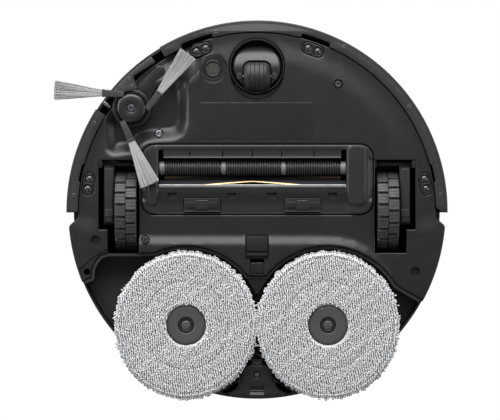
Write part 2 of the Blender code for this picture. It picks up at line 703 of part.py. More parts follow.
def insides(shop):
    """Battery, circuit board, fan, tank, pump and the fixed motors."""
    battery_front = CASTER_Y + CASTER_SOCKET_RADIUS + CASTER_SOCKET_WALL + 0.0010
    battery = shop.box(
        "battery_pack",
        (BATTERY_LEFT_X, battery_front, FLOOR_TOP + GAP),
        (BATTERY_RIGHT_X, BATTERY_REAR_Y, BIN_BOTTOM - 0.0010),
        0.0020,
    )
    shop.paint(battery, (0.05, 0.09, 0.12), 0.5)
    board_z = BIN_BOTTOM + BOARD_LIFT
    board = shop.box(
        "main_board",
        (-BOARD_HALF_WIDTH, BOARD_FRONT_Y, board_z),
        (BOARD_HALF_WIDTH, BOARD_REAR_Y, board_z + BOARD_THICKNESS),
    )
    for number, x in enumerate(CHIP_PLACES_X):
        low = (x - CHIP_HALF_WIDTH, BOARD_FRONT_Y + 0.0140, board_z + 0.0010)
        high = (x + CHIP_HALF_WIDTH, BOARD_FRONT_Y + 0.0280, board_z + 0.0030)
        shop.join(board, shop.box(f"chip_{number}", low, high))
    for number, x in enumerate((-STANDOFF_X, STANDOFF_X)):
        low = (x - STANDOFF_HALF_WIDTH, BOARD_REAR_Y - 0.0110, BIN_BOTTOM - 0.0007)
        high = (x + STANDOFF_HALF_WIDTH, BOARD_REAR_Y - 0.0060, board_z + 0.0010)
        shop.join(board, shop.box(f"standoff_{number}", low, high))
    shop.paint(board, (0.02, 0.12, 0.05), 0.45)
    suction_fan(shop)
    roof_top = ROOF_Z + ROOF_THICKNESS + GAP
    tank = shop.box(
        "water_tank",
        (-TANK_HALF_WIDTH, TANK_FRONT_Y, roof_top),
        (TANK_HALF_WIDTH, TANK_REAR_Y, DECK_UNDERSIDE - 0.0010),
        0.0040,
    )
    shop.paint(tank, (0.30, 0.33, 0.36), 0.2)
    pump_low = (-PUMP_HALF_WIDTH, PUMP_FRONT_Y, roof_top)
    pump_high = (PUMP_HALF_WIDTH, PUMP_REAR_Y, roof_top + PUMP_HEIGHT)
    pump = shop.box("water_pump", pump_low, pump_high, 0.0015)
    shop.paint(pump, GREY, 0.5)
    motor_low = SCOOP_TOP + GAP
    motor_high = motor_low + SIDE_MOTOR_HEIGHT
    motor = shop.rod("side_brush_motor", GEAR_MOTOR_RADIUS, motor_low, motor_high, SIDE_MOTOR_PLACE)
    shop.paint(motor, (0.55, 0.55, 0.56), 0.35, 1.0)
    housing_right = ROLLER_RIGHT_X + ROLLER_END_GAP + WALL
    drive = shop.rod(
        "brush_motor",
        GEAR_MOTOR_RADIUS,
        housing_right + GAP,
        WELL_INNER_X - 0.0020,
        (RUBBER_Y - 0.0090, RUBBER_Z + 0.0105),
        MEDIUM_STEPS,
        "X",
    )
    shop.paint(drive, (0.55, 0.55, 0.56), 0.35, 1.0)


def suction_fan(shop):
    """The fan's round housing, open above, and the bladed wheel that turns in it."""
    low = FLOOR_TOP + GAP
    high = low + FAN_HEIGHT
    housing = shop.turned(
        "fan_housing",
        [
            (0.0, low + WALL),
            (FAN_RADIUS - WALL, low + WALL),
            (FAN_RADIUS - WALL, high - WALL),
            (FAN_EYE_RADIUS, high - WALL),
            (FAN_EYE_RADIUS, high),
            (FAN_RADIUS, high),
            (FAN_RADIUS, low),
            (0.0, low),
        ],
        (*FAN_PLACE, 0.0),
    )
    shop.paint(housing, PLASTIC, 0.5)
    wheel_low = low + WALL + 0.0060
    place = (*FAN_PLACE, wheel_low)
    impeller = shop.turned(
        "fan_impeller",
        [
            (0.0, IMPELLER_HEIGHT),
            (IMPELLER_HUB_RADIUS, IMPELLER_HEIGHT - 0.0010),
            (IMPELLER_HUB_RADIUS + 0.0010, 0.0030),
            (IMPELLER_RADIUS, 0.0015),
            (IMPELLER_RADIUS, 0.0),
            (0.0, 0.0),
        ],
        place,
    )
    for blade in range(IMPELLER_BLADES):
        vane = shop.box(
            f"fan_vane_{blade}",
            (place[0] + IMPELLER_HUB_RADIUS, place[1] - 0.0006, wheel_low + 0.0010),
            (place[0] + IMPELLER_RADIUS - 0.0005, place[1] + 0.0006, wheel_low + IMPELLER_BLADE_HEIGHT),
            origin=place,
        )
        vane.rotation_euler[2] = 2 * math.pi * blade / IMPELLER_BLADES
        shop.join(impeller, vane)
    shop.paint(impeller, GREY, 0.5)


def top_parts(shop):
    """The lift-off cover, the dust bin under it, the turret and the two buttons."""
    cover_low = DECK_TOP + GAP
    cover_high = cover_low + COVER_HEIGHT
    turret = (0.0, TURRET_Y)
    hole = TURRET_RADIUS + 0.0020
    cover = shop.prism(
        "top_cover",
        [circle(COVER_RADIUS, 2 * BODY_STEPS), circle(hole, LARGE_STEPS, turret)],
        cover_low,
        cover_high,
    )
    hollow = [circle(COVER_RADIUS - WALL, 2 * BODY_STEPS), circle(hole + WALL, LARGE_STEPS, turret)]
    shop.cut(cover, shop.prism("cover_hollow", hollow, cover_low - WALL, cover_high - 0.0020))
    shop.paint(cover, PLASTIC, 0.25)

    flange = BIN_HALF_WIDTH + BIN_FLANGE
    bin_top = cover_low + 0.0010
    dust_bin = shop.box(
        "dust_bin",
        (-BIN_HALF_WIDTH, BIN_FRONT_Y, BIN_BOTTOM),
        (BIN_HALF_WIDTH, BIN_REAR_Y, bin_top),
    )
    rim_low = (-flange, BIN_FRONT_Y - BIN_FLANGE, cover_low)
    rim_high = (flange, BIN_REAR_Y + BIN_FLANGE, bin_top)
    shop.join(dust_bin, shop.box("bin_flange", rim_low, rim_high))
    inner_low = (-BIN_HALF_WIDTH + BIN_WALL, BIN_FRONT_Y + BIN_WALL, BIN_BOTTOM + BIN_WALL)
    inner_high = (BIN_HALF_WIDTH - BIN_WALL, BIN_REAR_Y - BIN_WALL, bin_top + WALL)
    shop.cut(dust_bin, shop.box("bin_space", inner_low, inner_high))
    inlet_low = (-DUCT_HALF_WIDTH, DUCT_FRONT_Y, BIN_BOTTOM - WALL)
    inlet_high = (DUCT_HALF_WIDTH, DUCT_REAR_Y, BIN_BOTTOM + 2 * WALL)
    shop.cut(dust_bin, shop.box("bin_inlet", inlet_low, inlet_high))
    shop.paint(dust_bin, (0.06, 0.06, 0.07), 0.3)
    lid_low = (-flange, BIN_FRONT_Y - BIN_FLANGE, bin_top + GAP)
    lid_high = (flange, BIN_REAR_Y + BIN_FLANGE, cover_high - 0.0020 - GAP)
    lid = shop.box("bin_lid", lid_low, lid_high)
    shop.paint(lid, (0.08, 0.08, 0.09), 0.35)

    base_top = cover_low + TURRET_BASE_HEIGHT
    base = shop.turned(
        "lidar_base",
        [
            (0.0, base_top),
            (TURRET_RADIUS - 0.0015, base_top),
            (TURRET_RADIUS, base_top - 0.0015),
            (TURRET_RADIUS, cover_low),
            (0.0, cover_low),
        ],
        (0.0, TURRET_Y, 0.0),
        LARGE_STEPS,
    )
    shop.paint(base, PLASTIC, 0.4)
    cap_top = DECK_TOP + TURRET_HEIGHT
    cap_low = cap_top - TURRET_CAP_HEIGHT
    head_low = base_top + GAP
    head = shop.turned(
        "lidar_head",
        [
            (0.0, cap_low - GAP),
            (TURRET_HEAD_RADIUS, cap_low - GAP),
            (TURRET_HEAD_RADIUS, head_low),
            (0.0, head_low),
        ],
        (0.0, TURRET_Y, 0.0),
    )
    shop.paint(head, DARK, 0.15)
    cap = shop.turned(
        "lidar_cap",
        [
            (0.0, cap_top),
            (TURRET_RADIUS - 0.0060, cap_top),
            (TURRET_RADIUS - 0.0015, cap_top - 0.0020),
            (TURRET_RADIUS, cap_low + 0.0010),
            (TURRET_RADIUS, cap_low),
            (0.0, cap_low),
        ],
        (0.0, TURRET_Y, 0.0),
        LARGE_STEPS,
    )
    post_circle = (TURRET_HEAD_RADIUS + TURRET_RADIUS) / 2 + 0.0010
    for number in range(3):
        place = polar(post_circle, 90.0 + 120.0 * number, turret)
        name = f"turret_post_{number}"
        post = shop.rod(name, TURRET_POST_RADIUS, head_low, cap_low + 0.0010, place, SMALL_STEPS)
        shop.join(cap, post)
    shop.paint(cap, PLASTIC, 0.35)
    for name, x in (("power_button", -BUTTON_X), ("home_button", BUTTON_X)):
        low = DECK_TOP + 0.0004 - BUTTON_HEIGHT
        button = shop.rod(name, BUTTON_RADIUS, low, DECK_TOP + 0.0004, (x, BUTTON_Y))
        shop.paint(button, GREY, 0.3)


def under_sensors(shop):
    """Cliff sensors, the carpet sensor and the blank label."""
    for name, place in CLIFF_PLACES.items():
        sensor = shop.prism(name, [cliff_outline(place)], RIM_Z, RIM_Z + CLIFF_HEIGHT)
        shop.paint(sensor, DARK, 0.1)
    sensor = shop.rod("carpet_sensor", CARPET_SENSOR_RADIUS, BELLY_Z + 0.0010, 0.0220, CARPET_SENSOR)
    shop.paint(sensor, (0.05, 0.05, 0.045), 0.5)
    half_x, half_y = LABEL_SIZE[0] / 2, LABEL_SIZE[1] / 2
    x, y = LABEL_CENTRE
    label = shop.box(
        "rating_label",
        (x - half_x, y - half_y, BELLY_Z - 2 * GAP),
        (x + half_x, y + half_y, BELLY_Z - GAP),
    )
    shop.paint(label, (0.035, 0.036, 0.038), 0.45)


# ---------------------------------------------------------------- wheels


def drive_module(shop, name, side):
    """A drive wheel on its sprung gearbox arm, with the arm's hinge pin."""
    inner = WHEEL_TRACK_HALF - WHEEL_WIDTH / 2
    outer = WHEEL_TRACK_HALF + WHEEL_WIDTH / 2
    rim_radius = WHEEL_RADIUS - TYRE_THICKNESS - GAP
    stub = WHEEL_WIDTH / 2 + WHEEL_AXLE_LENGTH
    half = WHEEL_WIDTH / 2
    centre = (side * WHEEL_TRACK_HALF, 0.0, WHEEL_RADIUS)
    profile = [
        (0.0, stub),
        (WHEEL_AXLE_RADIUS, stub),
        (WHEEL_AXLE_RADIUS, half),
        (rim_radius, half),
        (rim_radius, -half),
        (rim_radius - 0.0060, -half),
        (rim_radius - 0.0080, -half + 0.0050),
        (0.0100, -half + 0.0050),
        (0.0090, -half),
        (0.0, -half),
    ]
    wheel = shop.turned(f"drive_wheel_{name}", profile, centre, LARGE_STEPS, "X")
    if side < 0:
        wheel.rotation_euler[1] = -math.pi / 2
    shop.paint(wheel, DARK, 0.5)
    tyre_inner = rim_radius + GAP
    tyre_profile = [
        (tyre_inner, half),
        (WHEEL_RADIUS - 0.0012, half),
        (WHEEL_RADIUS, half - 0.0012),
        (WHEEL_RADIUS, -half + 0.0012),
        (WHEEL_RADIUS - 0.0012, -half),
        (tyre_inner, -half),
    ]
    tyre = shop.turned(f"drive_tyre_{name}", tyre_profile, centre, LARGE_STEPS, "X", ring=True)
    shop.paint(tyre, (0.015, 0.015, 0.015), 0.8)

    pivot = (side * WHEEL_TRACK_HALF, ARM_PIVOT_Y, ARM_PIVOT_Z)
    arm_low, arm_high = sorted((side * (outer + 0.0006), side * (outer + 0.0006 + ARM_WIDTH)))
    arm = shop.box(
        f"wheel_arm_{name}",
        (arm_low, ARM_PIVOT_Y + 0.0010, ARM_PIVOT_Z - 0.0040),
        (arm_high, ARM_REAR_Y, ARM_PIVOT_Z + 0.0200),
        0.0015,
        pivot,
    )
    barrel_low, barrel_high = sorted((side * (inner - 0.0003), side * (outer + ARM_WIDTH + 0.0010)))
    axis = (ARM_PIVOT_Y, ARM_PIVOT_Z)
    barrel = shop.rod(f"barrel_{name}", ARM_BARREL_RADIUS, barrel_low, barrel_high, axis, SMALL_STEPS, "X")
    shop.join(arm, barrel)
    bore_radius = HINGE_PIN_RADIUS + GAP
    bore = shop.rod(
        f"barrel_bore_{name}",
        bore_radius,
        barrel_low - 0.0010,
        barrel_high + 0.0010,
        axis,
        SMALL_STEPS,
        "X",
    )
    shop.cut(arm, bore)
    socket_low, socket_high = sorted((side * (outer - 0.0010), side * (outer + WHEEL_AXLE_LENGTH + 0.0010)))
    socket = shop.rod(
        f"axle_socket_{name}",
        WHEEL_AXLE_RADIUS + GAP,
        socket_low,
        socket_high,
        (0.0, WHEEL_RADIUS),
        SMALL_STEPS,
        "X",
    )
    shop.cut(arm, socket)
    shop.paint(arm, PLASTIC, 0.45)
    pin_low, pin_high = sorted((side * (EAR_SPANS[0][0] + 0.0003), side * (EAR_SPANS[1][0] + 0.0022)))
    pin = shop.rod(f"hinge_pin_{name}", HINGE_PIN_RADIUS, pin_low, pin_high, axis, SMALL_STEPS, "X")
    shop.paint(pin, (0.6, 0.6, 0.62), 0.3, 1.0)


def caster(shop):
    """The front caster: a cup in the chassis, a swivelling dome and a wide wheel on its axle."""
    place = (0.0, CASTER_Y, 0.0)
    outer = CASTER_SOCKET_RADIUS + CASTER_SOCKET_WALL
    roof = CASTER_HEIGHT + 0.0004
    stem_hole = CASTER_STEM_RADIUS + 0.0005
    socket = shop.turned(
        "caster_socket",
        [
            (stem_hole, roof + WALL),
            (outer, roof + WALL),
            (outer, BELLY_Z),
            (CASTER_SOCKET_RADIUS, BELLY_Z),
            (CASTER_SOCKET_RADIUS, roof),
            (stem_hole, roof),
        ],
        place,
        LARGE_STEPS,
        ring=True,
    )
    shop.paint(socket, PLASTIC, 0.5)
    dome_low = GROUND_CLEARANCE - 0.0030
    yoke = shop.turned(
        "caster_yoke",
        [
            (0.0, roof + WALL + 0.0015),
            (CASTER_STEM_RADIUS, roof + WALL + 0.0015),
            (CASTER_STEM_RADIUS, CASTER_HEIGHT),
            (CASTER_DOME_RADIUS, CASTER_HEIGHT),
            (CASTER_DOME_RADIUS, dome_low + 0.0055),
            (CASTER_DOME_RADIUS - 0.0020, dome_low + 0.0018),
            (CASTER_DOME_RADIUS - 0.0060, dome_low),
            (0.0, dome_low),
        ],
        place,
        LARGE_STEPS,
    )
    axle_y = CASTER_Y + CASTER_TRAIL
    side = CASTER_WHEEL_WIDTH / 2 + 0.0005
    slot_low = (-side, axle_y - CASTER_WHEEL_RADIUS - 0.0007, -0.0010)
    slot_high = (side, CASTER_Y + 0.0400, 2 * CASTER_WHEEL_RADIUS + 0.0012)
    shop.cut(yoke, shop.box("caster_slot", slot_low, slot_high))
    axis = (axle_y, CASTER_WHEEL_RADIUS)
    bore = CASTER_AXLE_RADIUS + GAP
    shop.cut(yoke, shop.rod("caster_bore", bore, -0.0300, 0.0300, axis, SMALL_STEPS, "X"))
    shop.paint(yoke, PLASTIC, 0.4)
    half = CASTER_WHEEL_WIDTH / 2
    wheel = shop.turned(
        "caster_wheel",
        [
            (bore, half),
            (CASTER_WHEEL_RADIUS - 0.0025, half),
            (CASTER_WHEEL_RADIUS - 0.0006, half - 0.0015),
            (CASTER_WHEEL_RADIUS, half - 0.0040),
            (CASTER_WHEEL_RADIUS, -half + 0.0040),
            (CASTER_WHEEL_RADIUS - 0.0006, -half + 0.0015),
            (CASTER_WHEEL_RADIUS - 0.0025, -half),
            (bore, -half),
        ],
        (0.0, axle_y, CASTER_WHEEL_RADIUS),
        MEDIUM_STEPS,
        "X",
        ring=True,
    )
    shop.paint(wheel, (0.02, 0.02, 0.02), 0.55)
    reach = half + 0.0040
    axle = shop.rod("caster_axle", CASTER_AXLE_RADIUS, -reach, reach, axis, SMALL_STEPS, "X")
    shop.paint(axle, (0.6, 0.6, 0.62), 0.3, 1.0)


# ---------------------------------------------------------------- rollers


def guard_outline(growth=0.0):
    return rounded_rectangle(
        GUARD_LEFT_X - growth,
        GUARD_FRONT_Y - growth,
        GUARD_RIGHT_X + growth,
        GUARD_REAR_Y + growth,
        GUARD_CORNER + growth,
    )


def roller_unit(shop):
    """The housing over the rollers, the guard under them, its two latches and both rollers."""
    low_x, high_x = ROLLER_LEFT_X - ROLLER_END_GAP, ROLLER_RIGHT_X + ROLLER_END_GAP
    bottom = GUARD_TOP + GAP
    front, rear = GUARD_FRONT_Y + 0.0035, GUARD_REAR_Y - 0.0032
    housing = shop.box(
        "brush_housing", (low_x - WALL, front - WALL, bottom), (high_x + WALL, rear + WALL, HOUSING_TOP)
    )
    duct_low = (-DUCT_HALF_WIDTH - WALL, DUCT_FRONT_Y - WALL, HOUSING_TOP - WALL / 2)
    duct_high = (DUCT_HALF_WIDTH + WALL, DUCT_REAR_Y + WALL, BIN_BOTTOM - GAP)
    shop.join(housing, shop.box("duct", duct_low, duct_high))
    space = shop.box("housing_space", (low_x, front, 0.0), (high_x, rear, HOUSING_TOP - WALL))
    shop.cut(housing, space)
    shop.cut(
        housing,
        shop.box(
            "duct_space",
            (-DUCT_HALF_WIDTH, DUCT_FRONT_Y, HOUSING_TOP - 2 * WALL),
            (DUCT_HALF_WIDTH, DUCT_REAR_Y, BIN_BOTTOM + WALL),
        ),
    )
    bores = (("comb", COMB_Y, COMB_Z), ("rubber", RUBBER_Y, RUBBER_Z))
    for name, y, z in bores:
        radius = ROLLER_SHAFT_RADIUS + GAP
        bore = shop.rod(f"{name}_bore", radius, low_x - 0.01, high_x + 0.01, (y, z), SMALL_STEPS, "X")
        shop.cut(housing, bore)
    shop.paint(housing, PLASTIC, 0.5)

    mouth = rectangle(MOUTH_LEFT_X, MOUTH_FRONT_Y, MOUTH_RIGHT_X, MOUTH_REAR_Y)
    recesses = [
        rectangle(
            x - LATCH_RECESS_HALF,
            LATCH_FRONT_Y - LATCH_TRAVEL - 0.0004,
            x + LATCH_RECESS_HALF,
            LATCH_REAR_Y + 0.0023,
        )
        for x in LATCH_CENTRES_X
    ]
    guard = shop.prism("brush_guard", [guard_outline(), mouth, *recesses], GUARD_Z, GUARD_Z + GUARD_THICKNESS)
    inside = rectangle(MOUTH_LEFT_X - 0.0012, MOUTH_FRONT_Y - 0.0013, MOUTH_RIGHT_X + 0.0014, 0.0018)
    rim_low = GUARD_Z + GUARD_THICKNESS - 0.0003
    shop.join(guard, shop.prism("guard_rim", [guard_outline(), inside], rim_low, GUARD_TOP))
    shop.paint(guard, PLASTIC, 0.35)
    for name, x in zip(("guard_latch_left", "guard_latch_right"), LATCH_CENTRES_X):
        half = LATCH_WIDTH / 2
        latch = shop.box(
            name,
            (x - half, LATCH_FRONT_Y, GUARD_Z - 0.0004),
            (x + half, LATCH_REAR_Y, GUARD_Z + 0.0026),
            0.0004,
        )
        wing_low = (x - LATCH_RECESS_HALF + 0.0020, LATCH_FRONT_Y + 0.0020, GUARD_Z + 0.0010)
        wing_high = (x + LATCH_RECESS_HALF - 0.0020, LATCH_REAR_Y - 0.0020, GUARD_Z + 0.0024)
        shop.join(latch, shop.box(name + "_wings", wing_low, wing_high))
        shop.paint(latch, PLASTIC, 0.4)

    middle = (ROLLER_LEFT_X + ROLLER_RIGHT_X) / 2
    half = (ROLLER_RIGHT_X - ROLLER_LEFT_X) / 2
    tip = half + ROLLER_SHAFT_REACH
    shaft = ROLLER_SHAFT_RADIUS
    collar = COMB_RADIUS - 0.0012
    comb_half = [(0.0, tip), (shaft, tip), (shaft, half), (COMB_RADIUS, half)]
    comb_half += [(COMB_RADIUS, half - 0.0050), (collar, half - 0.0052)]
    comb_profile = comb_half + [(radius, -height) for radius, height in reversed(comb_half)]
    comb = shop.turned("comb_roller", comb_profile, (middle, COMB_Y, COMB_Z), MEDIUM_STEPS, "X")
    shop.paint(comb, DARK, 0.5)
    core = RUBBER_RADIUS - 0.0030
    rubber_half = [(0.0, tip), (shaft, tip), (shaft, half), (core, half)]
    rubber_profile = rubber_half + [(radius, -height) for radius, height in reversed(rubber_half)]
    rubber = shop.turned("rubber_roller", rubber_profile, (middle, RUBBER_Y, RUBBER_Z), MEDIUM_STEPS, "X")
    for vane in range(5):
        blade = shop.box(
            f"roller_vane_{vane}",
            (ROLLER_LEFT_X + 0.0060, RUBBER_Y - 0.0008, RUBBER_Z + core - 0.0015),
            (ROLLER_RIGHT_X - 0.0060, RUBBER_Y + 0.0008, RUBBER_Z + RUBBER_RADIUS),
            origin=(middle, RUBBER_Y, RUBBER_Z),
        )
        blade.rotation_euler[0] = math.radians(72.0 * vane + 30.0)
        shop.join(rubber, blade)
    shop.paint(rubber, DARK, 0.6)


# ---------------------------------------------------------------- side brush


def side_brush(shop):
    """The swing arm, the brush hub with three sleeves, its tufts and its screw."""
    flange = arc(FLANGE_RADIUS, *FLANGE_ANGLES, 6)
    boss = circle(SWING_PIVOT_RADIUS + 0.0040, MEDIUM_STEPS, SWING_PIVOT)
    outline = hull(flange + circle(BRUSH_RING_RADIUS, LARGE_STEPS, BRUSH_HUB) + boss)
    top = SWING_ARM_BOTTOM + SWING_ARM_THICKNESS
    arm = shop.prism("side_brush_arm", [outline], SWING_ARM_BOTTOM, top, (*SWING_PIVOT, 0.0))
    post = shop.rod("swing_post", SWING_PIVOT_RADIUS, top - 0.0010, SCOOP_TOP + 0.0020, SWING_PIVOT)
    shop.join(arm, post)
    shop.paint(arm, PLASTIC, 0.45)

    hub_top = SWING_ARM_BOTTOM - GAP
    hub_low = hub_top - BRUSH_HUB_HEIGHT
    hub = shop.turned(
        "side_brush_hub",
        [
            (0.0, hub_top),
            (BRUSH_HUB_RADIUS, hub_top),
            (BRUSH_HUB_RADIUS, hub_low + 0.0015),
            (BRUSH_HUB_RADIUS - 0.0015, hub_low),
            (0.0, hub_low),
        ],
        (*BRUSH_HUB, 0.0),
    )
    sleeve_low = hub_low + 0.0006
    sleeve_high = sleeve_low + BRUSH_SLEEVE_THICKNESS
    for number, angle in enumerate(BRUSH_ROOT_ANGLES):
        root = polar(BRUSH_SLEEVE_REACH, angle)
        tip = polar(BRUSH_REACH, angle - BRUSH_SWEEP_ANGLE)
        run = math.hypot(tip[0] - root[0], tip[1] - root[1])
        heading = math.atan2(tip[1] - root[1], tip[0] - root[0])
        place = (BRUSH_HUB[0] + root[0], BRUSH_HUB[1] + root[1], 0.0)
        sleeve = shop.box(
            f"sleeve_{number}",
            (-0.0200, -BRUSH_SLEEVE_WIDTH / 2, sleeve_low),
            (0.0, BRUSH_SLEEVE_WIDTH / 2, sleeve_high),
            0.0012,
            (0.0, 0.0, 0.0),
        )
        sleeve.location = place
        sleeve.rotation_euler[2] = heading
        shop.join(hub, sleeve)
        tuft = bristle_tuft(shop, f"bristle_tuft_{number + 1}", run - GAP, (sleeve_low + sleeve_high) / 2)
        offset = GAP + 0.0001
        tuft.location = (
            place[0] + offset * math.cos(heading),
            place[1] + offset * math.sin(heading),
            0.0,
        )
        tuft.rotation_euler[2] = heading
    recess = BRUSH_SCREW_RADIUS + GAP
    shop.cut(hub, shop.rod("screw_recess", recess, hub_low - 0.0010, hub_low + 0.0034, BRUSH_HUB))
    shop.paint(hub, (0.03, 0.03, 0.032), 0.5)
    screw_low = hub_low + 0.0008
    screw = shop.rod("side_brush_screw", BRUSH_SCREW_RADIUS, screw_low, hub_low + 0.0031, BRUSH_HUB)
    shop.paint(screw, (0.5, 0.5, 0.52), 0.3, 1.0)


def bristle_tuft(shop, name, length, root_z):
    """A fan of bristles as one tapered solid, drooping towards the floor at its tip."""
    tuft = shop.box(
        name,
        (0.0, -BRUSH_ROOT_WIDTH / 2, root_z - 0.0011),
        (length, BRUSH_ROOT_WIDTH / 2, root_z + 0.0011),
        origin=(0.0, 0.0, 0.0),
    )
    droop = root_z - 0.0030
    for v in tuft.data.vertices:
        if v.co.x > length / 2:
            v.co.y *= BRUSH_TIP_WIDTH / BRUSH_ROOT_WIDTH
            v.co.z -= droop
    shop.paint(tuft, (0.42, 0.42, 0.42), 0.8)
    return tuft


# ---------------------------------------------------------------- mops


def mop(shop, name, side):
    """A mop's plate and pad, and the motor above them that lifts with them."""
    centre = (side * MOP_X, MOP_Y, 0.0)
    plate_top = MOP_PLATE_Z + MOP_PLATE_THICKNESS
    hub_low = MOP_PAD_BOTTOM + 0.0030
    plate = shop.turned(
        f"mop_plate_{name}",
        [
            (0.0, MOP_BOSS_TOP),
            (MOP_BOSS_RADIUS, MOP_BOSS_TOP),
            (MOP_BOSS_RADIUS, plate_top),
            (MOP_PLATE_RADIUS, plate_top),
            (MOP_PLATE_RADIUS, MOP_PLATE_Z),
            (MOP_HUB_RADIUS - GAP, MOP_PLATE_Z),
            (MOP_HUB_RADIUS - GAP, hub_low + 0.0010),
            (MOP_HUB_RADIUS - 0.0012, hub_low),
            (0.0, hub_low),
        ],
        centre,
        LARGE_STEPS,
    )
    shop.paint(plate, (0.06, 0.06, 0.065), 0.45)
    pad_top = MOP_PAD_BOTTOM + MOP_PAD_THICKNESS
    pad = shop.turned(
        f"mop_pad_{name}",
        [
            (MOP_HUB_RADIUS, pad_top),
            (MOP_PAD_RADIUS - 0.0015, pad_top),
            (MOP_PAD_RADIUS, pad_top - 0.0020),
            (MOP_PAD_RADIUS, MOP_PAD_BOTTOM + 0.0020),
            (MOP_PAD_RADIUS - 0.0015, MOP_PAD_BOTTOM),
            (MOP_HUB_RADIUS, MOP_PAD_BOTTOM),
        ],
        centre,
        LARGE_STEPS,
        ring=True,
    )
    shop.paint(pad, (0.62, 0.63, 0.64), 0.9)
    motor_low = MOP_ARM_Z + MOP_ARM_THICKNESS + GAP
    motor = shop.turned(
        f"mop_motor_{name}",
        [
            (0.0, motor_low + MOP_MOTOR_HEIGHT),
            (MOP_MOTOR_RADIUS, motor_low + MOP_MOTOR_HEIGHT),
            (MOP_MOTOR_RADIUS, motor_low),
            (MOP_SHAFT_RADIUS, motor_low),
            (MOP_SHAFT_RADIUS, MOP_BOSS_TOP + GAP),
            (0.0, MOP_BOSS_TOP + GAP),
        ],
        centre,
    )
    shop.paint(motor, (0.55, 0.55, 0.56), 0.35, 1.0)


def mop_arm(shop):
    """The arm that swings the left mop out past the body."""
    end = (-MOP_X, MOP_Y)
    outline = hull(circle(0.0085, MEDIUM_STEPS, MOP_PIVOT) + circle(0.0095, MEDIUM_STEPS, end))
    top = MOP_ARM_Z + MOP_ARM_THICKNESS
    arm = shop.prism("mop_arm", [outline], MOP_ARM_Z, top, (*MOP_PIVOT, 0.0))
    post_top = ROOF_Z + ROOF_THICKNESS + 0.0040
    shop.join(arm, shop.rod("mop_post", MOP_PIVOT_RADIUS, top - 0.0010, post_top, MOP_PIVOT))
    shop.cut(arm, shop.rod("mop_arm_bore", MOP_SHAFT_RADIUS + GAP, 0.0, 0.1, end))
    shop.paint(arm, PLASTIC, 0.5)


def main():
    clear_scene()
    shop = Workshop()
    base_plate(shop)
    mop_bay_frame(shop)
    top_deck(shop)
    bumper(shop)
    insides(shop)
    top_parts(shop)
    under_sensors(shop)
    service_latch(shop)
    for name, side in (("left", -1), ("right", 1)):
        drive_module(shop, name, side)
        mop(shop, name, side)
    caster(shop)
    roller_unit(shop)
    side_brush(shop)
    mop_arm(shop)


main()
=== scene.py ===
"""The finished look of a robot vacuum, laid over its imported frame.

Sizes are in millimetres in the robot's own frame: the drive axle is at y = 0, the front is towards -y, the floor
is at z = 0 and the side brush is on the -x side. Bench.piece moves each finished mesh into metres in the row frame.
"""

from __future__ import annotations

import json
import logging
import math
from collections.abc import Callable, Sequence
from dataclasses import dataclass, field
from enum import Enum

import bmesh
import bpy
import numpy as np
from mathutils import Matrix, Vector
from mathutils.geometry import convex_hull_2d, delaunay_2d_cdt

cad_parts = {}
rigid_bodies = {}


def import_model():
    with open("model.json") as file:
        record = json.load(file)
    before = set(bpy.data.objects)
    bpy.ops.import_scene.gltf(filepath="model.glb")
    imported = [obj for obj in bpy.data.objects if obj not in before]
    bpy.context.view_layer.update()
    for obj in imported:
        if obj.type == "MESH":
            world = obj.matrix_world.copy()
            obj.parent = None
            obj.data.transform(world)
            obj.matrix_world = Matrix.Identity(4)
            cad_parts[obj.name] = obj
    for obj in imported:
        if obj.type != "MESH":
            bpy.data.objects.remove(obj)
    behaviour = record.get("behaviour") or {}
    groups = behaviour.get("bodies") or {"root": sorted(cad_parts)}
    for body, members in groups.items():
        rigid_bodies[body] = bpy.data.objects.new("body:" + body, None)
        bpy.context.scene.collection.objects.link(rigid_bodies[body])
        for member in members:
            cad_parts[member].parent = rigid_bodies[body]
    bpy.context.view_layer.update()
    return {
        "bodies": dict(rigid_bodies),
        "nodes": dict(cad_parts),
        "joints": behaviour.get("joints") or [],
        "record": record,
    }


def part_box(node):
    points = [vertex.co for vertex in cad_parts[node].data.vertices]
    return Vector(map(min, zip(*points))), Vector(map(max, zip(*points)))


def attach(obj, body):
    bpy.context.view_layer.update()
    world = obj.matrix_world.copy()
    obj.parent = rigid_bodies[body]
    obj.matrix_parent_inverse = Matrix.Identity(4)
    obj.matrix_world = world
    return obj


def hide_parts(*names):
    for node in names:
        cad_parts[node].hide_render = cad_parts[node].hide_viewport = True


Point = tuple[float, float]
Place = tuple[float, float, float]
log = logging.getLogger("robot_vacuum")

BUMPER_RADIUS = 175.0
REAR_RADIUS = 173.4
FRONT_WALL_RADIUS = 164.1
BELLY_Z = 11.0
RIM_Z = 13.6
REAR_BELLY_Z = 7.5
DECK_TOP = 80.0
WHEEL_X = 120.35
WHEEL_RADIUS = 36.7
MOP_X = 64.9
MOP_Y = 104.4
MOP_BAY_RADIUS = 69.5
BRUSH_HUB: Point = (-115.1, -94.0)
CARPET_SENSOR: Point = (-40.4, -130.7)
CASTER_Y = -133.0
TURRET_Y = 45.0
CREASE = 34.0


class Axis(Enum):
    """The axis that a turned shape goes round."""

    X = "X"
    Z = "Z"


class Side(Enum):
    """A side of the robot, with the sign of its x."""

    LEFT = -1
    RIGHT = 1

    @property
    def tag(self) -> str:
        """The word used in piece names."""
        return self.name.lower()


# ---------------------------------------------------------------- outlines


def polar(radius: float, degrees: float, centre: Point = (0.0, 0.0)) -> Point:
    """The point at a radius and an angle from a centre."""
    turn = math.radians(degrees)
    return centre[0] + radius * math.cos(turn), centre[1] + radius * math.sin(turn)


def arc(radius: float, start: float, end: float, steps: int, centre: Point = (0.0, 0.0)) -> list[Point]:
    """Points along an arc, both ends included."""
    return [polar(radius, start + (end - start) * i / steps, centre) for i in range(steps + 1)]


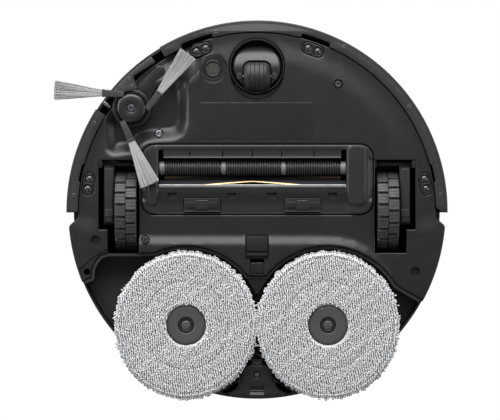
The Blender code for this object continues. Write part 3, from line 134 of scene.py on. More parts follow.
def circle(radius: float, centre: Point = (0.0, 0.0), steps: int = 48) -> list[Point]:
    """A closed circle, counterclockwise."""
    return arc(radius, 0.0, 360.0, steps, centre)[:-1]


def sector(inner: float, outer: float, start: float, end: float, steps: int = 96) -> list[Point]:
    """A piece of a ring between two angles, counterclockwise."""
    return arc(outer, start, end, steps) + arc(inner, end, start, steps)


def panel(low: Point, high: Point, corner: float = 0.0, steps: int = 5) -> list[Point]:
    """A rectangle between two corners, counterclockwise, with round corners if a radius is given."""
    (x0, y0), (x1, y1) = low, high
    if corner <= 0.0:
        return [(x0, y0), (x1, y0), (x1, y1), (x0, y1)]
    turns = [((x1 - corner, y0 + corner), -90.0), ((x1 - corner, y1 - corner), 0.0)]
    turns += [((x0 + corner, y1 - corner), 90.0), ((x0 + corner, y0 + corner), 180.0)]
    return [p for centre, start in turns for p in arc(corner, start, start + 90.0, steps, centre)]


def capsule(centre: Point, length: float, width: float, degrees: float, steps: int = 10) -> list[Point]:
    """A slot with round ends, its long axis at an angle."""
    reach = (length - width) / 2
    head, tail = polar(reach, degrees, centre), polar(-reach, degrees, centre)
    front = arc(width / 2, degrees - 90.0, degrees + 90.0, steps, head)
    return front + arc(width / 2, degrees + 90.0, degrees + 270.0, steps, tail)


def grown(outline: Sequence[Point], distance: float) -> list[Point]:
    """A counterclockwise outline moved outwards, with mitred corners.

    Args:
        outline: the closed outline.
        distance: how far it moves, negative for inwards.

    Returns:
        The moved outline, with as many points.
    """
    moved = []
    for i, (x, y) in enumerate(outline):
        (x0, y0), (x1, y1) = outline[i - 1], outline[(i + 1) % len(outline)]
        a, b = math.hypot(x - x0, y - y0), math.hypot(x1 - x, y1 - y)
        nx, ny = (y - y0) / a + (y1 - y) / b, (x0 - x) / a + (x - x1) / b
        scale = 2.0 * distance / max(nx * nx + ny * ny, 0.6)
        moved.append((x + nx * scale, y + ny * scale))
    return moved


def ribbon(path: Sequence[Point], width: float) -> list[Point]:
    """A narrow closed outline that runs along an open path."""
    left, right = [], []
    for i, (x, y) in enumerate(path):
        (x0, y0), (x1, y1) = path[max(i - 1, 0)], path[min(i + 1, len(path) - 1)]
        length = math.hypot(x1 - x0, y1 - y0)
        nx, ny = (y1 - y0) / length * width / 2, (x0 - x1) / length * width / 2
        left.append((x + nx, y + ny))
        right.append((x - nx, y - ny))
    return left + right[::-1]


def rounded(outline: Sequence[Point], radius: float, steps: int = 4) -> list[Point]:
    """An outline whose corners are cut by short arcs of about this radius."""
    made: list[Point] = []
    for i, corner in enumerate(outline):
        before, here, after = Vector(outline[i - 1]), Vector(corner), Vector(outline[(i + 1) % len(outline)])
        back, ahead = before - here, after - here
        reach = min(radius, back.length * 0.45, ahead.length * 0.45)
        start, end = here + back.normalized() * reach, here + ahead.normalized() * reach
        for k in range(steps + 1):
            t = k / steps
            spot = start * (1 - t) ** 2 + here * 2 * t * (1 - t) + end * t * t
            made.append((spot.x, spot.y))
    return made


def shell_outline(front: float, rear: float, steps: int = 96) -> list[Point]:
    """The body seen from above: a smaller arc in front, behind the bumper, and the full one at the back."""
    start = math.degrees(math.asin(14.7 / rear))
    side = [(front, 5.0), (front + 1.4, 7.3), (rear - 1.9, 12.4)]
    return arc(front, -180.0, 0.0, steps) + side + arc(rear, start, 180.0 - start, steps) + mirrored(side)


def mop_bay_outline() -> list[Point]:
    """The open space round both mop pads, with room for the pad that swings out."""
    tip = math.degrees(math.acos((MOP_X - 9.8) / MOP_BAY_RADIUS))
    recess = [(-180.0, 76.0), (-149.5, 63.3), (-148.6, 54.1), (-145.8, 47.7), (-142.2, 43.6)]
    recess += [(-136.7, 41.5), (-107.3, 41.5)]
    left = arc(MOP_BAY_RADIUS, -113.4, -tip, 28, (-MOP_X, MOP_Y))
    right = arc(MOP_BAY_RADIUS, tip - 180.0, -29.4, 44, (MOP_X, MOP_Y))
    return recess + left + right + [(150.0, 84.6), (185.0, 104.5), (185.0, 220.0), (-185.0, 220.0)]


def guard_outline(growth: float = 0.0) -> list[Point]:
    """The roller guard's round-cornered rectangle."""
    return panel((-106.0 - growth, -61.0 - growth), (106.4 + growth, 3.2 + growth), 12.0 + growth, 10)


def well_outline(side: Side) -> list[Point]:
    """The opening that a drive wheel comes through."""
    points = [(108.2, -46.8), (145.4, -46.8), (145.4, 17.0), (137.1, 17.0), (137.1, 38.5), (108.2, 38.5)]
    return points if side is Side.RIGHT else mirrored(points)


CLIFF_PLACES: dict[str, Point] = {
    "cliff_sensor_front_left": (-51.4, -148.1),
    "cliff_sensor_front_right": (51.4, -148.1),
    "cliff_sensor_side_left": (-154.7, -24.8),
    "cliff_sensor_side_right": (154.7, -24.8),
}
HOLLOW_SCREW: Place = (-90.2, -70.9, 15.2)
BODY_SCREWS: tuple[Place, ...] = (
    (74.6, -116.5, 13.2),
    HOLLOW_SCREW,
    (-148.1, 26.6, 15.4),
    (-102.3, 26.6, 10.0),
    (144.9, 55.5, 15.2),
)


def cliff_outline(place: Point, growth: float = 0.0) -> list[Point]:
    """A cliff sensor's capsule, which lies along the rim."""
    along = math.degrees(math.atan2(place[1], place[0])) + 90.0
    return capsule(place, 20.5 + 2 * growth, 11.0 + 2 * growth, along)


# ---------------------------------------------------------------- meshes


class Form:
    """A mesh that is put together from simple closed solids, in millimetres."""

    def __init__(self) -> None:
        """Starts empty."""
        self.points: list[Place] = []
        self.faces: list[tuple[int, ...]] = []

    def add(self, points: Sequence[Place], faces: Sequence[Sequence[int]], at: Matrix | None = None) -> Form:
        """Adds a mesh.

        Args:
            points: its points.
            faces: its faces as indices into the points.
            at: where it goes, or None for as it is.

        Returns:
            This form.
        """
        start = len(self.points)
        self.points += [tuple(at @ Vector(p)) for p in points] if at else [tuple(p) for p in points]
        self.faces += [tuple(start + i for i in face) for face in faces]
        return self

    def take(self, mesh: bpy.types.Mesh, at: Matrix | None = None) -> Form:
        """Adds a Blender mesh and frees it."""
        points = [tuple(v.co) for v in mesh.vertices]
        faces = [tuple(p.vertices) for p in mesh.polygons]
        bpy.data.meshes.remove(mesh)
        return self.add(points, faces, at)

    def form(self, other: Form, at: Matrix | None = None) -> Form:
        """Adds another form."""
        return self.add(other.points, other.faces, at)

    def mesh(self, name: str) -> bpy.types.Mesh:
        """The form as a Blender mesh with its doubles merged and its faces outward."""
        made = bpy.data.meshes.new(name)
        made.from_pydata(self.points, [], self.faces)
        bm = bmesh.new()
        bm.from_mesh(made)
        bmesh.ops.remove_doubles(bm, verts=bm.verts, dist=1e-4)
        bmesh.ops.recalc_face_normals(bm, faces=bm.faces)
        bm.to_mesh(made)
        bm.free()
        return made

    def plate(
        self,
        outlines: Sequence[Sequence[Point]],
        low: float,
        high: float,
        edge: float = 0.3,
        at: Matrix | None = None,
        rounds: int = 1,
    ) -> Form:
        """Adds filled outlines with thickness and softened edges.

        Args:
            outlines: closed outlines. One inside another is a hole.
            low: the lower face's z.
            high: the upper face's z.
            edge: the size of the softened edge.
            at: where it goes.
            rounds: how finely the edge is divided.

        Returns:
            This form.
        """
        edge = min(edge, (high - low) * 0.49)
        curve = bpy.data.curves.new("outline", "CURVE")
        curve.dimensions = "2D"
        curve.fill_mode = "BOTH"
        curve.extrude = (high - low) / 2 - edge
        curve.bevel_depth = edge
        curve.bevel_resolution = rounds
        curve.offset = -edge
        for points in outlines:
            spline = curve.splines.new("POLY")
            spline.points.add(len(points) - 1)
            for target, (x, y) in zip(spline.points, points):
                target.co = (x, y, 0.0, 1.0)
            spline.use_cyclic_u = True
        holder = bpy.data.objects.new("outline", curve)
        bpy.context.scene.collection.objects.link(holder)
        graph = bpy.context.evaluated_depsgraph_get()
        mesh = bpy.data.meshes.new_from_object(holder.evaluated_get(graph))
        bpy.data.objects.remove(holder, do_unlink=True)
        bpy.data.curves.remove(curve)
        lift = Matrix.Translation((0.0, 0.0, (low + high) / 2))
        return self.take(mesh, at @ lift if at else lift)

    def block(self, low: Place, high: Place, edge: float = 0.3, at: Matrix | None = None) -> Form:
        """Adds a box with softened edges between two corners."""
        return self.plate([panel(low[:2], high[:2])], low[2], high[2], edge, at)

    def turned(
        self,
        profile: Sequence[Point],
        centre: Place = (0.0, 0.0, 0.0),
        axis: Axis = Axis.Z,
        steps: int = 64,
        closed: bool = False,
    ) -> Form:
        """Adds a profile turned round an axis.

        Args:
            profile: (radius, height) points. A radius of zero closes the shape on its axis.
            centre: where the axis's zero is.
            axis: the axis that it is turned round.
            steps: how finely it is divided.
            closed: whether the profile's end joins its start.

        Returns:
            This form.
        """
        points: list[Place] = []
        rows: list[list[int]] = []
        for radius, height in profile:
            row = []
            for k in range(1 if radius == 0.0 else steps):
                turn = 2 * math.pi * k / steps
                a, b = radius * math.cos(turn), radius * math.sin(turn)
                spot = (a, b, height) if axis is Axis.Z else (height, a, b)
                points.append(tuple(s + c for s, c in zip(spot, centre)))
                row.append(len(points) - 1)
            rows.append(row)
        faces: list[tuple[int, ...]] = []
        pairs = list(zip(rows, rows[1:])) + ([(rows[-1], rows[0])] if closed else [])
        for one, two in pairs:
            for k in range(steps):
                n = (k + 1) % steps
                quad = [one[k % len(one)], one[n % len(one)], two[n % len(two)], two[k % len(two)]]
                face = tuple(dict.fromkeys(quad))
                if len(face) > 2:
                    faces.append(face)
        return self.add(points, faces)

    def loft(self, rings: Sequence[Sequence[Place]]) -> Form:
        """Adds a skin over closed rings of equal length, filled at both ends."""
        count = len(rings[0])
        points = [p for ring in rings for p in ring]
        faces: list[tuple[int, ...]] = []
        for r in range(len(rings) - 1):
            for k in range(count):
                n = (k + 1) % count
                faces.append((r * count + k, r * count + n, (r + 1) * count + n, (r + 1) * count + k))
        faces += [tuple(range(count)), tuple(range((len(rings) - 1) * count, len(rings) * count))]
        return self.add(points, faces)

    def tube(self, path: Sequence[Place], radius: float | Sequence[float], sides: int = 8) -> Form:
        """Adds a round bar along a path, its radius constant or one for each point."""
        spots = [Vector(p) for p in path]
        sizes = [radius] * len(spots) if isinstance(radius, (int, float)) else list(radius)
        rings = []
        for i, spot in enumerate(spots):
            ahead = (spots[min(i + 1, len(spots) - 1)] - spots[max(i - 1, 0)]).normalized()
            side = ahead.cross(Vector((0.0, 0.0, 1.0)))
            side = side.normalized() if side.length > 0.05 else Vector((1.0, 0.0, 0.0))
            up = side.cross(ahead).normalized()
            turns = [2 * math.pi * k / sides for k in range(sides)]
            rings.append([tuple(spot + (side * math.cos(t) + up * math.sin(t)) * sizes[i]) for t in turns])
        return self.loft(rings)


def softened(profile: Sequence[Point], radius: float, steps: int = 3) -> list[Point]:
    """An open profile with its inner corners rounded and its two ends kept."""
    made = rounded(list(profile), radius, steps)
    return [profile[0], *made[steps + 1 : -(steps + 1)], profile[-1]]


def facing(degrees: float, place: Place) -> Matrix:
    """A frame at a place that is turned about the origin, its z pointing outwards."""
    outwards = Matrix.Rotation(math.radians(90.0), 4, "Y")
    return Matrix.Rotation(math.radians(degrees), 4, "Z") @ Matrix.Translation(place) @ outwards


def mirrored(outline: Sequence[Point]) -> list[Point]:
    """An outline on the other side of the robot, still counterclockwise."""
    return [(-x, y) for x, y in reversed(outline)]


# ---------------------------------------------------------------- finishes


class Value:
    """A shader socket that takes part in arithmetic."""

    def __init__(self, paint: Paint, socket: bpy.types.NodeSocket) -> None:
        """Wraps an output socket of a paint's tree."""
        self.paint = paint
        self.socket = socket

    def _math(self, operation: str, left: Value | float, right: Value | float = 0.0) -> Value:
        """Adds a Math node on two values."""
        settings = {"operation": operation}
        return self.paint.node("ShaderNodeMath", settings, {0: left, 1: right}).out("Value")

    def __add__(self, other: Value | float) -> Value:
        """self + other"""
        return self._math("ADD", self, other)

    def __sub__(self, other: Value | float) -> Value:
        """self - other"""
        return self._math("SUBTRACT", self, other)

    def __rsub__(self, other: float) -> Value:
        """other - self"""
        return self._math("SUBTRACT", other, self)

    def __mul__(self, other: Value | float) -> Value:
        """self * other"""
        return self._math("MULTIPLY", self, other)

    def wave(self) -> Value:
        """The sine, moved into 0 to 1."""
        return self._math("SINE", self) * 0.5 + 0.5

    def over(self, level: float) -> Value:
        """One where it is above a level, else zero."""
        return self._math("GREATER_THAN", self, level)


class Node:
    """A shader node with short ways to its outputs."""

    def __init__(self, paint: Paint, node: bpy.types.Node) -> None:
        """Wraps a node of a paint's tree."""
        self.paint = paint
        self.node = node

    def out(self, name: str) -> Value:
        """An output by its name."""
        return Value(self.paint, self.node.outputs[name])


class Paint:
    """A material under construction."""

    def __init__(self, name: str) -> None:
        """Starts with a Principled shader on the output."""
        self.material = bpy.data.materials.new(name)
        self.material.use_nodes = True
        self.tree = self.material.node_tree
        self.shader = self.tree.nodes["Principled BSDF"]
        self.spot = self.node("ShaderNodeTexCoord").out("Object")

    def node(self, kind: str, settings: dict | None = None, inputs: dict | None = None) -> Node:
        """Adds a node.

        Args:
            kind: its type.
            settings: properties that are set first.
            inputs: values or Value links by socket name or number.

        Returns:
            The node.
        """
        made = self.tree.nodes.new(kind)
        for key, setting in (settings or {}).items():
            setattr(made, key, setting)
        for key, value in (inputs or {}).items():
            self.feed(made.inputs[key], value)
        return Node(self, made)

    def feed(self, socket: bpy.types.NodeSocket, value: Value | float | Sequence[float]) -> None:
        """Links a value to a socket, or sets it."""
        if isinstance(value, Value):
            self.tree.links.new(value.socket, socket)
        elif socket.type == "RGBA" and len(value) == 3:
            socket.default_value = (*value, 1.0)
        else:
            socket.default_value = value

    def noise(self, scale: float, detail: float = 2.0, stretch: Place = (1.0, 1.0, 1.0), rough: float = 0.5) -> Value:
        """Noise over the piece, scale in cells per metre."""
        placed = self.node("ShaderNodeMapping", None, {"Vector": self.spot, "Scale": stretch}).out("Vector")
        inputs = {"Vector": placed, "Scale": scale, "Detail": detail, "Roughness": rough}
        return self.node("ShaderNodeTexNoise", None, inputs).out("Fac")

    def cells(self, scale: float, feature: str = "F1") -> Value:
        """Distance to the nearest of a field of points, scale in cells per metre."""
        inputs = {"Vector": self.spot, "Scale": scale}
        return self.node("ShaderNodeTexVoronoi", {"feature": feature}, inputs).out("Distance")

    def axis(self, name: str) -> Value:
        """One of the place's coordinates, in metres."""
        return self.node("ShaderNodeSeparateXYZ", None, {0: self.spot}).out(name)

    def mix(self, amount: Value, one: Sequence[float] | Value, two: Sequence[float] | Value) -> Value:
        """A colour between two."""
        made = self.node("ShaderNodeMix", {"data_type": "RGBA", "clamp_factor": True})
        self.feed(made.node.inputs[0], amount)
        self.feed(made.node.inputs[6], one)
        self.feed(made.node.inputs[7], two)
        return Value(self, made.node.outputs[2])

    def set(self, **sockets: Value | float | Sequence[float]) -> None:
        """Feeds the shader's own sockets, with underscores for spaces in their names."""
        for name, value in sockets.items():
            self.feed(self.shader.inputs[name.replace("_", " ")], value)

    def bump(self, height: Value, depth: float) -> None:
        """Roughens the surface by a height of 0 to 1 times a depth in metres."""
        inputs = {"Height": height, "Distance": depth, "Strength": 1.0}
        self.set(Normal=self.node("ShaderNodeBump", None, inputs).out("Normal"))


@dataclass(frozen=True)
class Finish:
    """What every finish has: a name and a colour in linear light."""

    name: str
    colour: Place

    def shade(self, amount: float) -> Place:
        """The colour made lighter or darker."""
        return tuple(min(c * amount, 1.0) for c in self.colour)

    def dress(self, paint: Paint) -> None:
        """Builds the nodes."""
        raise NotImplementedError

    def material(self) -> bpy.types.Material:
        """The finished material, made once."""
        made = bpy.data.materials.get(self.name)
        if made is None:
            paint = Paint(self.name)
            self.dress(paint)
            made = paint.material
        return made


@dataclass(frozen=True)
class Moulded(Finish):
    """Spark-textured or smooth moulded plastic, with faint flow marks and a little dust."""

    roughness: float = 0.5
    grain: float = 1700.0
    depth: float = 0.00003
    specular: float = 0.5
    dust: float = 0.12

    def dress(self, paint: Paint) -> None:
        """Builds mottled colour, uneven gloss and a fine grain."""
        flow, fine, broad = paint.noise(22.0, 3.0), paint.noise(self.grain, 2.0), paint.noise(140.0, 4.0, rough=0.65)
        tone = paint.mix(flow * 0.55 + fine * 0.45, self.shade(0.78), self.shade(1.24))
        dusty = tuple(c * 1.5 + 0.012 for c in self.colour)
        paint.set(Base_Color=paint.mix((broad - 0.58) * (6.0 * self.dust), tone, dusty))
        paint.set(Roughness=broad * 0.16 + flow * 0.06 + (self.roughness - 0.11))
        paint.set(Specular_IOR_Level=self.specular)
        paint.bump(fine * 0.8 + broad * 0.2, self.depth)


@dataclass(frozen=True)
class Glossy(Finish):
    """Dark polished plastic such as a sensor window, with faint orange peel and fine rub marks."""

    roughness: float = 0.08
    coat: float = 0.0

    def dress(self, paint: Paint) -> None:
        """Builds a smooth dark surface with slight smears."""
        smear, peel = paint.noise(60.0, 4.0, (1.0, 3.0, 1.0), 0.6), paint.noise(420.0, 1.0)
        paint.set(Base_Color=paint.mix(smear, self.shade(0.8), self.shade(1.3)))
        paint.set(Roughness=smear * 0.08 + self.roughness, Coat_Weight=self.coat)
        paint.bump(peel, 0.000012)


@dataclass(frozen=True)
class Metal(Finish):
    """Turned or pressed metal with fine lines along one axis."""

    roughness: float = 0.3
    lines: Place = (1.0, 1.0, 12.0)

    def dress(self, paint: Paint) -> None:
        """Builds brushed streaks and light tarnish."""
        streak, tarnish = paint.noise(900.0, 2.0, self.lines), paint.noise(120.0, 4.0)
        paint.set(Base_Color=paint.mix(streak * 0.5 + tarnish * 0.5, self.shade(0.8), self.shade(1.15)))
        paint.set(Metallic=1.0, Roughness=streak * 0.14 + tarnish * 0.1 + (self.roughness - 0.12))
        paint.bump(streak, 0.00001)


@dataclass(frozen=True)
class Rubber(Finish):
    """Matt rubber with a bloom of dust and a leathery grain."""

    roughness: float = 0.7

    def dress(self, paint: Paint) -> None:
        """Builds a dusty matt surface."""
        bloom, grain = paint.noise(180.0, 5.0, rough=0.7), paint.cells(2200.0)
        dusty = tuple(c * 1.6 + 0.02 for c in self.colour)
        paint.set(Base_Color=paint.mix((bloom - 0.42) * 1.8, self.colour, dusty))
        paint.set(Roughness=bloom * 0.2 + (self.roughness - 0.1), Specular_IOR_Level=0.4)
        paint.bump(grain * 0.5 + bloom * 0.5, 0.00006)


@dataclass(frozen=True)
class Yarn(Finish):
    """Looped microfibre yarn: pale strands with broad soiled patches."""

    def dress(self, paint: Paint) -> None:
        """Builds strand-to-strand variation and a fine twist."""
        strand = paint.noise(420.0, 3.0, (1.0, 0.45, 1.0), 0.7)
        tuft, soil = paint.cells(520.0), paint.noise(38.0, 3.0)
        pale = paint.mix((strand - 0.3) * 1.6, self.shade(0.80), self.shade(1.16))
        paint.set(Base_Color=paint.mix(soil * 0.14, pale, (0.5, 0.48, 0.45)))
        paint.set(Roughness=strand * 0.1 + 0.85, Sheen_Weight=0.3, Sheen_Roughness=0.5)
        paint.bump(strand * 0.6 + tuft * 0.6, 0.00035)


@dataclass(frozen=True)
class Bristle(Finish):
    """Translucent-looking nylon filament with streaks of lighter and darker tone."""

    def dress(self, paint: Paint) -> None:
        """Builds strand variation along the tuft."""
        strand = paint.noise(800.0, 2.0, (1.0, 1.0, 0.2))
        paint.set(Base_Color=paint.mix(strand, self.shade(0.7), self.shade(1.25)))
        paint.set(Roughness=strand * 0.15 + 0.38)


@dataclass(frozen=True)
class Gauze(Finish):
    """A fine woven screen in front of a sensor."""

    pitch: float = 0.0011

    def dress(self, paint: Paint) -> None:
        """Builds crossing wires with dark gaps."""
        step = 2 * math.pi / self.pitch
        weave = (paint.axis("X") * step).wave() * (paint.axis("Y") * step).wave()
        grime = paint.noise(300.0, 3.0)
        paint.set(Base_Color=paint.mix(weave * 0.8 + grime * 0.2, self.shade(1.5), self.shade(0.25)))
        paint.set(Roughness=grime * 0.2 + 0.4, Metallic=0.4)
        paint.bump(1.0 - weave, 0.0002)


@dataclass(frozen=True)
class Board(Finish):
    """A circuit board: solder mask with tracks and pads."""

    def dress(self, paint: Paint) -> None:
        """Builds a field of tracks."""
        tracks = (paint.cells(260.0, "DISTANCE_TO_EDGE") * 60.0).wave()
        pads = paint.cells(420.0).over(0.62)
        green = paint.mix(tracks, self.colour, self.shade(1.8))
        paint.set(Base_Color=paint.mix(pads, green, (0.45, 0.42, 0.35)), Roughness=tracks * 0.15 + 0.35)
        paint.bump(tracks, 0.00004)


@dataclass(frozen=True)
class Backdrop(Finish):
    """A pale studio floor that is seen only from above."""

    def dress(self, paint: Paint) -> None:
        """Builds the floor and leaves its underside clear."""
        paint.set(Base_Color=paint.mix(paint.noise(6.0, 2.0), self.shade(0.99), self.shade(1.01)), Roughness=0.6)
        under = paint.node("ShaderNodeNewGeometry").out("Backfacing")
        clear = paint.node("ShaderNodeBsdfTransparent").out("BSDF")
        inputs = {0: under, 1: Value(paint, paint.shader.outputs["BSDF"]), 2: clear}
        both = paint.node("ShaderNodeMixShader", None, inputs).out("Shader")
        paint.feed(paint.tree.nodes["Material Output"].inputs["Surface"], both)


class Finishes:
    """Every finish on the robot."""

    SHELL = Moulded("charcoal_shell", (0.015, 0.0152, 0.016), roughness=0.40)
    FLOOR_SHELL = Moulded("charcoal_underside", (0.0125, 0.0127, 0.0133), roughness=0.36, depth=0.000022)
    SATIN = Moulded("satin_black", (0.013, 0.0132, 0.0138), roughness=0.34, depth=0.000012)
    DEEP = Moulded("inner_black", (0.012, 0.012, 0.0125), roughness=0.55)
    BAND = Moulded("bumper_band", (0.022, 0.0223, 0.0232), roughness=0.46)
    HUB_GREY = Moulded("mop_hub_grey", (0.062, 0.063, 0.066), roughness=0.42, depth=0.000012)
    HUB_DARK = Moulded("mop_hub_ring", (0.014, 0.014, 0.015), roughness=0.30)
    # Near-black painted shade, for a sheet set where only shadow shows.
    PAINTED_SHADE = Moulded("shadowed_black", (0.003, 0.003, 0.003), roughness=0.7)
    FILM = Moulded("blank_film", (0.014, 0.0142, 0.015), roughness=0.30, depth=0.000004, grain=4000.0)
    GREY = Moulded("moulded_grey", (0.22, 0.225, 0.235), roughness=0.4)
    PALE = Moulded("pale_plastic", (0.15, 0.15, 0.15), roughness=0.4, depth=0.00001)
    LID = Moulded("bin_lid_grey", (0.05, 0.05, 0.055), roughness=0.35)
    CELLS = Moulded("battery_wrap", (0.05, 0.09, 0.12), roughness=0.4, grain=900.0)
    WINDOW = Glossy("infrared_window", (0.006, 0.006, 0.008), roughness=0.28, coat=0.2)
    LENS = Glossy("sensor_lens", (0.03, 0.03, 0.034), roughness=0.12, coat=0.3)
    COVER = Glossy("polished_cover", (0.016, 0.0165, 0.018), roughness=0.16, coat=0.3)
    TANK = Glossy("smoked_tank", (0.16, 0.18, 0.2), roughness=0.12)
    SMOKED = Glossy("smoked_bin", (0.05, 0.05, 0.06), roughness=0.15)
    STEEL = Metal("bright_steel", (0.56, 0.56, 0.58), roughness=0.28)
    SCREW = Metal("blackened_screw", (0.14, 0.14, 0.15), roughness=0.42)
    BLADE = Metal("bright_strip", (0.62, 0.60, 0.58), roughness=0.38, lines=(0.2, 8.0, 8.0))
    BRONZE = Metal("bronze_edge", (0.48, 0.33, 0.17), roughness=0.34, lines=(0.2, 8.0, 8.0))
    CONTACT = Metal("charging_plate", (0.70, 0.62, 0.45), roughness=0.25)
    CAN = Metal("motor_can", (0.50, 0.50, 0.52), roughness=0.35)
    TYRE = Rubber("tread_rubber", (0.040, 0.040, 0.041), roughness=0.55)
    WHEEL_RUBBER = Rubber("caster_rubber", (0.012, 0.012, 0.0125), roughness=0.5)
    ROLLER = Rubber("roller_rubber", (0.017, 0.017, 0.019), roughness=0.45)
    FIN = Rubber("comb_fins", (0.04, 0.04, 0.042), roughness=0.30)
    SLEEVE = Rubber("brush_sleeve", (0.03, 0.03, 0.031), roughness=0.6)
    YARN = Yarn("looped_yarn", (0.76, 0.77, 0.78))
    BRISTLES = Bristle("nylon_bristle", (0.40, 0.40, 0.405))
    GAUZE = Gauze("sensor_gauze", (0.04, 0.04, 0.038))
    BOARD = Board("circuit_board", (0.012, 0.085, 0.03))
    FLOOR = Backdrop("studio_floor", (0.82, 0.82, 0.82))


# ---------------------------------------------------------------- bench


@dataclass
class Spot:
    """One place for a repeated part: where, how it is turned and how it is stretched."""

    at: Place
    turn: Place = (0.0, 0.0, 0.0)
    grow: Place = (1.0, 1.0, 1.0)


class Bench:
    """Makes finished pieces in the row frame."""

    def __init__(self, nodes: dict[str, bpy.types.Object]) -> None:
        """Finds the robot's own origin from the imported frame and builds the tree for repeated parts."""
        self.nodes = nodes
        socket_low, socket_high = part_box("caster_socket")
        wheel_low, wheel_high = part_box("drive_wheel_left")
        across, along = (socket_low.x + socket_high.x) / 2, (wheel_low.y + wheel_high.y) / 2
        self.home = Matrix.Translation((across, along, 0.0)) @ Matrix.Scale(0.001, 4)
        self.sockets: dict[str, str] = {}
        self.tree = self.repeat_tree()
        self.made = 0

    def repeat_tree(self) -> bpy.types.NodeTree:
        """Builds the Geometry Nodes tree that sets a part on every spot.

        Returns:
            The tree. Its inputs' identifiers go into self.sockets by name.
        """
        tree = bpy.data.node_groups.new("parts_on_spots", "GeometryNodeTree")
        face = tree.interface
        face.new_socket("Spots", in_out="INPUT", socket_type="NodeSocketGeometry")
        for name, kind in (("Part", "Object"), ("Size Spread", "Float"), ("Turn Spread", "Float"), ("Seed", "Int")):
            face.new_socket(name, in_out="INPUT", socket_type=f"NodeSocket{kind}")
        face.new_socket("Finish", in_out="INPUT", socket_type="NodeSocketMaterial")
        face.new_socket("Result", in_out="OUTPUT", socket_type="NodeSocketGeometry")
        self.sockets = {s.name: s.identifier for s in face.items_tree if s.in_out == "INPUT"}
        nodes, links = tree.nodes, tree.links

        def make(kind: str, **settings: str) -> bpy.types.Node:
            """Adds a node and sets its properties."""
            node = nodes.new(kind)
            for key, setting in settings.items():
                setattr(node, key, setting)
            return node

        start, end = make("NodeGroupInput"), make("NodeGroupOutput")
        part = make("GeometryNodeObjectInfo", transform_space="ORIGINAL")
        turn = make("GeometryNodeInputNamedAttribute", data_type="FLOAT_VECTOR")
        turn.inputs["Name"].default_value = "turn"
        grow = make("GeometryNodeInputNamedAttribute", data_type="FLOAT_VECTOR")
        grow.inputs["Name"].default_value = "grow"
        stray = make("FunctionNodeRandomValue", data_type="FLOAT_VECTOR")
        stray.inputs[0].default_value = (-1.0, -1.0, -1.0)
        turned = make("ShaderNodeVectorMath", operation="SCALE")
        heading = make("ShaderNodeVectorMath", operation="ADD")
        euler = make("FunctionNodeEulerToRotation")
        sized = make("ShaderNodeVectorMath", operation="SCALE")
        grown_size = make("ShaderNodeVectorMath", operation="MULTIPLY_ADD")
        place = make("GeometryNodeInstanceOnPoints")
        real, finish = make("GeometryNodeRealizeInstances"), make("GeometryNodeSetMaterial")
        joints = (
            (start, "Part", part, "Object"),
            (start, "Seed", stray, "Seed"),
            (stray, 0, turned, 0),
            (start, "Turn Spread", turned, "Scale"),
            (turn, 0, heading, 0),
            (turned, 0, heading, 1),
            (heading, 0, euler, 0),
            (stray, 0, sized, 0),
            (start, "Size Spread", sized, "Scale"),
            (sized, 0, grown_size, 0),
            (grow, 0, grown_size, 1),
            (grow, 0, grown_size, 2),
            (start, "Spots", place, "Points"),
            (part, "Geometry", place, "Instance"),
            (euler, 0, place, "Rotation"),
            (grown_size, 0, place, "Scale"),
            (place, 0, real, 0),
            (real, 0, finish, "Geometry"),
            (start, "Finish", finish, "Material"),
            (finish, 0, end, 0),
        )
        for source, out, target, into in joints:
            links.new(source.outputs[out], target.inputs[into])
        return tree

    def repeated(
        self, part: Form, spots: Sequence[Spot], finish: Finish, size_spread: float = 0.0, turn_spread: float = 0.0
    ) -> Form:
        """Sets a part on every spot.

        Args:
            part: the part, its origin where it stands on a spot.
            spots: the places.
            finish: its finish.
            size_spread: how much each copy's size strays.
            turn_spread: how much each copy's turn strays, in radians.

        Returns:
            All the copies as one form.
        """
        cloud = bpy.data.meshes.new("spots")
        cloud.from_pydata([s.at for s in spots], [], [])
        for name, rows in (("turn", [s.turn for s in spots]), ("grow", [s.grow for s in spots])):
            layer = cloud.attributes.new(name, "FLOAT_VECTOR", "POINT")
            layer.data.foreach_set("vector", np.array(rows, np.float32).ravel())
        holder = bpy.data.objects.new("spots", cloud)
        bpy.context.scene.collection.objects.link(holder)
        item = bpy.data.objects.new("part", part.mesh("part"))
        step = holder.modifiers.new("parts", "NODES")
        step.node_group = self.tree
        values = {"Part": item, "Size Spread": size_spread, "Turn Spread": turn_spread, "Seed": 7}
        values["Finish"] = finish.material()
        for name, value in values.items():
            step[self.sockets[name]] = value
        graph = bpy.context.evaluated_depsgraph_get()
        made = Form().take(bpy.data.meshes.new_from_object(holder.evaluated_get(graph)))
        holder.modifiers.remove(step)
        bpy.data.objects.remove(holder, do_unlink=True)
        bpy.data.objects.remove(item, do_unlink=True)
        return made

    def piece(
        self,
        name: str,
        form: Form,
        body: str,
        finish: Finish,
        replaces: Sequence[str] = (),
        slot: str | None = None,
    ) -> bpy.types.Object:
        """Turns a form into a finished piece.

        Args:
            name: the piece's name.
            form: its mesh, in millimetres in the robot's own frame.
            body: the body that it rides on.
            finish: its finish.
            replaces: CAD nodes that it stands for.
            slot: the record's material slot; not used.

        Returns:
            The piece's object.
        """
        mesh = form.mesh(name)
        mesh.transform(self.home)
        mesh.materials.append(finish.material())
        mesh.shade_smooth()
        mesh.set_sharp_from_angle(angle=math.radians(CREASE))
        piece = bpy.data.objects.new(name, mesh)
        bpy.context.scene.collection.objects.link(piece)
        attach(piece, body)
        if replaces:
            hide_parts(*replaces)
        self.made += 1
        log.info("%s: %d faces on %s", name, len(mesh.polygons), body)
        return piece

    def scatter(
        self, name: str, part: Form, spots: Sequence[Spot], body: str, finish: Finish, replaces: Sequence[str] = ()
    ) -> None:
        """Makes one piece of a part on every spot, with the same finish throughout."""
        self.piece(name, self.repeated(part, spots, finish), body, finish, replaces)

